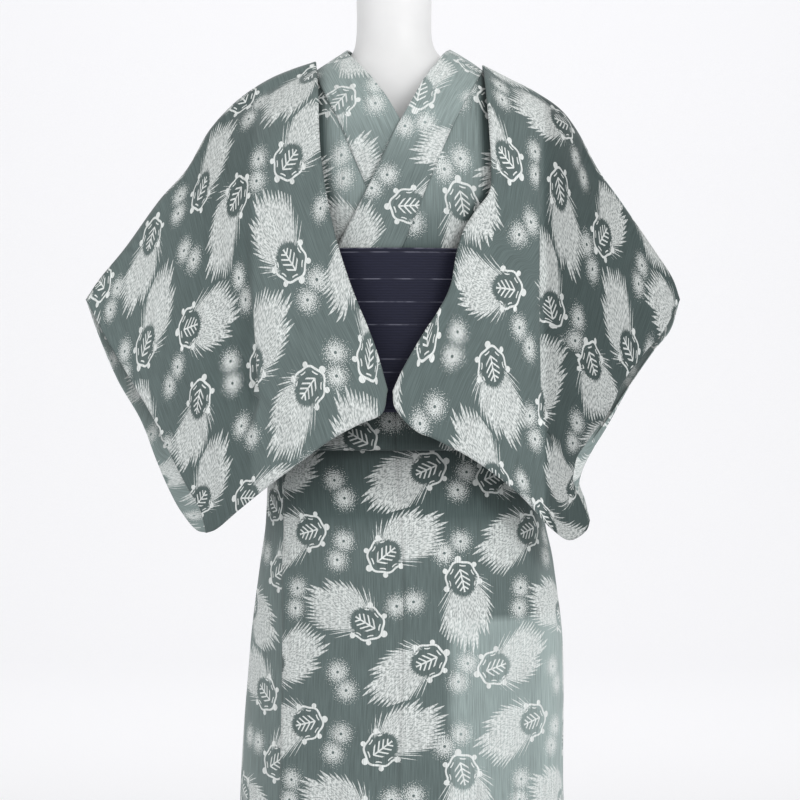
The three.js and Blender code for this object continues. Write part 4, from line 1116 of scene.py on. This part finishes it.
def sleeve_front(shape, top, across, down):
    """Front of a sleeve: a swelling patch, kept before the body by a rounded maximum, with its fold.

    The rounded maximum of depths a and b is (a + b + sqrt((a - b)^2 + r^2)) / 2. At the fold the
    cloth steps back by the fold's depth and runs inwards under itself by its lap, both on a smooth
    step over the fold's width, and both are spent again further out.
    """
    point = patch_point(top, shape["bottom"], shape["inner"], shape["cuff_front"], across, down)
    belly = SLEEVE_BELLY * np.sqrt(np.maximum(0, np.sin(np.pi * down))) * np.sin(np.pi * across)
    x, z = point[..., 0], point[..., 2]
    room = SLEEVE_ROOM * shoulder_slant(x, z) + SLEEVE_CHEST_ROOM * smooth_step(down, 0.05, 0.25)
    wanted = -point[..., 1] + belly
    limit = dressed_depth(x, z) + room
    rounded = -(wanted + limit + np.sqrt((wanted - limit) ** 2 + SLEEVE_ROUNDING ** 2)) / 2
    point[..., 1] = rounded + (point[..., 1] - rounded) * (1 - smooth_step(down, 0, 0.02))
    beyond = np.abs(x) - read(shape["fold"], "z", z, "x")
    depth = read(shape["fold"], "z", z, "depth") * smooth_step(1 - down, 0, 0.3)
    half = shape["fold_width"] / 2
    turned = smooth_step(beyond, -half, half)
    lapped = shape["fold_lap"] * depth * (turned - smooth_step(beyond, half, FOLD_LAP_SPENT))
    point[..., 0] -= np.sign(x) * lapped
    point[..., 1] += depth * turned * (1 - smooth_step(beyond, *FOLD_DEPTH_SPENT))
    return point


def turned_back(shape, top, down, count):
    """Strip behind the inner fold: the fold's edge moved along the cloth and inwards on a round."""
    zero = 0 * down
    edge = sleeve_front(shape, top, zero, down)
    along = unit(sleeve_front(shape, top, zero + 0.06, down) - edge)
    lower = (sleeve_front(shape, top, zero + 0.03, np.minimum(down + 0.03, 1))
             - sleeve_front(shape, top, zero + 0.03, np.maximum(down - 0.03, 0.001)))
    inward = unit(np.cross(along, lower))
    inward *= np.where(inward[..., 1:2] < 0, -1, 1)
    q = np.linspace(1, 0, count)[None, :]
    reach = read(TURN_BACK_ROUND, "q", q, "reach") * read(TURN_BACK, "down", down[:, None], "width")
    depth = read(TURN_BACK_ROUND, "q", q, "depth") * read(TURN_BACK, "down", down[:, None], "room")
    point = edge[:, None, :] + along[:, None, :] * reach[..., None] + inward[:, None, :] * depth[..., None]
    x, z = point[..., 0], point[..., 2]
    clear = dressed_depth(x, z) + TURN_BACK_ROOM * shoulder_slant(x, z)
    held = np.where(down[:, None] > 0.01, np.minimum(point[..., 1], -clear), point[..., 1])
    point[:, :-1, 1] = held[:, :-1]
    return point, reach


def armhole_edge(side, shape, top):
    """Inner edge of a sleeve's back: along the back of the armhole, then free round the belt."""
    way = np.array(ARMHOLE_STOPS)
    sewn = bodice_point(armhole_x(way), way, 1, side, layer_out(2, "alone", 0))
    sewn[:, 0] += side * ARMHOLE_GAP
    return np.concatenate([top(np.array([SHOULDER_SHARE])), sewn, np.array(shape["free_edge"], float)])


def sleeve_grids(side, name):
    """The grids of one sleeve: front with its turned-back strip, back, and the lap over the shoulder."""
    table = SLEEVES[name]
    shape = {key: space_curve(table[key]) for key in ("bottom", "inner", "cuff_front", "cuff_back")}
    shape |= {key: table[key] for key in ("fold", "fold_width", "fold_lap")}
    top = space_curve(table["top"])
    shoulder_share = np.linspace(0, SHOULDER_SHARE, SHOULDER_COLUMNS)
    wing_share = np.linspace(SHOULDER_SHARE, 1, WING_COLUMNS)
    across_line = np.concatenate([shoulder_share, wing_share[1:]])
    down_line = np.concatenate([np.linspace(0, 0.04, 6)[:-1], np.linspace(0.04, 1, SLEEVE_ROWS)])
    across, down = np.meshgrid(across_line, down_line)
    width, length = SLEEVE_CUT
    plain = sleeve_front(shape, top, across, down)
    front = creased(plain, across * width, down * length, SLEEVE_CREASES[name])
    front[0] = plain[0]
    front_u, front_v = flat_lengths(plain)
    straight = front_u[:, STRAIGHT_COLUMN:STRAIGHT_COLUMN + 1]
    front_u = front_u - straight + straight[0]
    strip, reach = turned_back(shape, top, down_line, STRIP_COLUMNS)
    strip[:, -1] = front[:, 0]

    back_inner = space_curve(armhole_edge(side, table, top))
    moved = [(x, y + BOTTOM_SEAM, z + 0.2) for x, y, z in table["bottom"]]
    back_bottom = space_curve(moved)
    back_across = (wing_share - SHOULDER_SHARE) / (1 - SHOULDER_SHARE)
    back_a, back_d = np.meshgrid(back_across, down_line)
    back = patch_point(lambda share: top(SHOULDER_SHARE + (1 - SHOULDER_SHARE) * share), back_bottom,
                       back_inner, shape["cuff_back"], back_a, back_d)
    back[..., 1] += SLEEVE_BELLY * np.sin(np.pi * back_a) * np.sqrt(np.maximum(0, np.sin(np.pi * back_d)))

    lap_share, lap_reach = np.meshgrid(shoulder_share, np.linspace(0, SHOULDER_LAP, LAP_ROWS))
    lap = top(lap_share)
    half = np.maximum(bodice_depth(lap[..., 0], shoulder_height(lap[..., 0]) - SHOULDER_CAP, 0), 60)
    lap[..., 1] += lap_reach
    lap[..., 2] -= SHOULDER_CAP * (1 - np.sqrt(1 - (lap_reach / half) ** 2))
    back_u, back_v = flat_lengths(back)
    back_u = back_u + front_u[0, len(shoulder_share) - 1]
    lap_u = front_u[:1, :len(shoulder_share)] + 0 * lap_reach
    # Each grid with its painted light share, the lap over the shoulder none
    return [
        (front, front_u, front_v, sleeve_painted_light(front, name)),
        (strip, front_u[:, :1] - reach, front_v[:, :1] + 0 * reach, TURN_BACK_PAINTED_LIGHT),
        (back[:, ::-1], back_u[:, ::-1], -back_v[:, ::-1], SLEEVE_BACK_PAINTED_LIGHT),
        (lap[::-1], lap_u, -lap_reach[::-1], 0.0),
    ]


def sleeve_painted_light(points, name):
    """Painted light share of a sleeve: painted shade past its long fold, more painted light near the cuff.
    """
    reach = np.abs(points[..., 0])
    wing = WING_SHADE[name] * smooth_step(reach, 162, 172)
    return SLEEVE_PAINTED_LIGHT[name] - wing + 0.1 * smooth_step(reach, 200, 300)


class KIMONO_OT_sleeves(bpy.types.Operator):
    """Build the two wide sleeves, which hang before the chest"""

    bl_idname = "kimono.sleeves"
    bl_label = "Sleeves"

    def execute(self, context):
        settings = context.scene.kimono_cloth
        for name, side in (("right", -1), ("left", 1)):
            place = BOLT_PLACES[f"sleeve_{name}"]
            grids = sleeve_grids(side, name)
            piece = grid_piece(f"cloth_sleeve_{name}", grids, settings.wall, place)
            piece.data.materials.append(shared_cloth())
            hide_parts(f"sleeve_{name}")
        return {"FINISHED"}


class KIMONO_OT_belt(bpy.types.Operator):
    """Build the half-width belt, wound twice round the waist"""

    bl_idname = "kimono.belt"
    bl_label = "Belt"

    def execute(self, context):
        settings = context.scene.kimono_belt
        share, depth = np.meshgrid(np.linspace(0, 1, BELT_COLUMNS), np.linspace(0, BELT_WIDTH, BELT_ROWS))
        turn = BELT_TURNS * share
        angle = -180 + 360 * turn
        front = np.mod(angle + 180, 360) - 180
        out = BELT_REST + (BELT_REST_FRONT - BELT_REST) * overlap_weight(front) + BELT_TURN_STEP * turn
        z = BELT_TOP - BELT_TURN_DROP * turn - depth
        points = figure_point(np.minimum(z, BELT_FLARE_TOP), angle, 1, out)
        points[..., 2] = z
        u, _ = flat_lengths(points)
        piece = grid_piece("band_belt", [(points, u, depth, 0.0)], settings.wall)
        piece.data.materials.append(belt_material(settings))
        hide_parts("belt")
        return {"FINISHED"}


class KIMONO_OT_form(bpy.types.Operator):
    """Build the smooth white torso of the dress form"""

    bl_idname = "kimono.form"
    bl_label = "Dress form"

    def execute(self, context):
        settings = context.scene.kimono_form
        z = np.linspace(FORM["z"][0], FORM["z"][-1], FORM_ROWS)[:, None]
        sizes = {key: read(FORM, "z", z, key) for key in ("half_width", "half_depth", "x", "y")}
        piece = ring_piece("form_shell", "form_shell", z, **sizes)
        piece.data.materials.append(painted_material("moulded_white_plastic", settings.shell, 0.5, 40))
        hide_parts("form_torso")
        return {"FINISHED"}


class KIMONO_OT_stand(bpy.types.Operator):
    """Build the pole and the round base"""

    bl_idname = "kimono.stand"
    bl_label = "Stand"

    def execute(self, context):
        settings = context.scene.kimono_form
        white = painted_material("powder_coated_steel", settings.shell, 0.4, 90)
        pole, base = settings.pole_radius / MM, settings.base_radius / MM
        thickness = settings.base_thickness / MM
        profiles = {
            "stand_pole": [(pole - 1, thickness + 0.4), (pole, thickness + 1.4), (pole, POLE_TOP - 1),
                           (pole - 1, POLE_TOP)],
            "stand_base": [(base - 2, 0), (base, 2), (base, thickness - 4), (base - 1, thickness - 1.5),
                           (base - 4, thickness - 0.2), (base - 8, thickness), (40, thickness)],
        }
        for node, profile in profiles.items():
            radius, z = (np.array(column, float)[:, None] for column in zip(*profile))
            piece = ring_piece(f"turned_{node}", "stand_metal", z, radius, radius)
            piece.data.materials.append(white)
            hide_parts(node)
        return {"FINISHED"}


def area_light(name, place, target, size, power):
    """Square soft light at a place, turned to its target."""
    lamp = bpy.data.lights.new(name, "AREA")
    lamp.size = size
    lamp.energy = power
    light = bpy.data.objects.new(name, lamp)
    bpy.context.scene.collection.objects.link(light)
    light.location = place
    direction = np.array(target, float) - np.array(place, float)
    flat = np.hypot(direction[0], direction[1])
    light.rotation_euler = (np.arctan2(flat, -direction[2]), 0, np.arctan2(-direction[0], direction[1]))


# Studio paper: how far the floor reaches, where it bends up, the bend's radius and its top edge
PAPER_REACH = 9000.0
PAPER_BACK = 6500
PAPER_BEND = 2500
PAPER_TOP = 7000

# Light from all round, and each soft light's place and target in metres, its size and its watts
ROOM_LIGHT = 0.74
LIGHTS = {
    "key": ((1.8, -2.6, 2.6), (0, 0, 1.0), 1.3, 44),
    "fill": ((-2.2, -2.4, 1.8), (0, 0, 0.9), 2.0, 14),
    "backdrop": ((0, 3.6, 4.6), (0, 9, 2.2), 4.0, 72),
}


class KIMONO_OT_stage(bpy.types.Operator):
    """Build the paper floor and backdrop, the lights and the camera"""

    bl_idname = "kimono.stage"
    bl_label = "Studio and camera"

    def execute(self, context):
        settings = context.scene.kimono_stage
        bend = np.linspace(0, np.pi / 2, PAPER_ROWS)
        away = PAPER_BACK + PAPER_BEND * np.sin(bend)
        y = np.concatenate([[-PAPER_REACH], away, [PAPER_BACK + PAPER_BEND]])
        z = np.concatenate([[0], PAPER_BEND * (1 - np.cos(bend)), [PAPER_TOP]])
        x = np.array([-PAPER_REACH, PAPER_REACH])
        points = np.stack(np.broadcast_arrays(x[None, :], y[:, None], z[:, None]), axis=-1)
        index = np.arange(points.shape[0] * 2).reshape(-1, 2)
        faces = np.stack([index[:-1, 0], index[:-1, 1], index[1:, 1], index[1:, 0]], axis=-1)
        paper = new_object("studio_paper", points.reshape(-1, 3), faces.tolist())
        paper.data.materials.append(painted_material("matt_white_paper", settings.floor, 0.9, 220))

        world = bpy.data.worlds.new("soft_studio")
        context.scene.world = world
        world.use_nodes = True
        world.node_tree.nodes["Background"].inputs["Color"].default_value = (1, 1, 1, 1)
        world.node_tree.nodes["Background"].inputs["Strength"].default_value = ROOM_LIGHT
        for name, light in LIGHTS.items():
            area_light(name, *light)

        lens = bpy.data.cameras.new("photo_camera")
        lens.lens = settings.lens
        lens.sensor_width = 36
        camera = bpy.data.objects.new("photo_camera", lens)
        context.scene.collection.objects.link(camera)
        camera.location = (0, -settings.distance, settings.height)
        camera.rotation_euler = (np.pi / 2, 0, 0)
        context.scene.camera = camera
        context.scene.view_settings.view_transform = "Standard"
        return {"FINISHED"}


class KIMONO_PT_pieces(bpy.types.Panel):
    """Buttons for each group of pieces"""

    bl_idname = "KIMONO_PT_pieces"
    bl_label = "Summer kimono"
    bl_space_type = "VIEW_3D"
    bl_region_type = "UI"
    bl_category = "Kimono"

    def draw(self, context):
        for operator in OPERATORS:
            self.layout.operator(operator.bl_idname)


SETTINGS = {
    "kimono_cloth": ClothSettings,
    "kimono_belt": BeltSettings,
    "kimono_form": FormSettings,
    "kimono_stage": StageSettings,
}
OPERATORS = (
    KIMONO_OT_body, KIMONO_OT_overlaps, KIMONO_OT_collar, KIMONO_OT_sleeves, KIMONO_OT_belt,
    KIMONO_OT_form, KIMONO_OT_stand, KIMONO_OT_stage,
)


def register():
    """Registers the classes and puts the settings on the scene."""
    for cls in (*SETTINGS.values(), *OPERATORS, KIMONO_PT_pieces):
        bpy.utils.register_class(cls)
    for name, cls in SETTINGS.items():
        setattr(bpy.types.Scene, name, bpy.props.PointerProperty(type=cls))


def unregister():
    """Takes the settings and the classes away again."""
    for name in SETTINGS:
        delattr(bpy.types.Scene, name)
    for cls in (KIMONO_PT_pieces, *reversed(OPERATORS), *SETTINGS.values()):
        bpy.utils.unregister_class(cls)


def main():
    register()
    for operator in OPERATORS:
        group, name = operator.bl_idname.split(".")
        getattr(getattr(bpy.ops, group), name)()


if __name__ == "__main__":
    main()
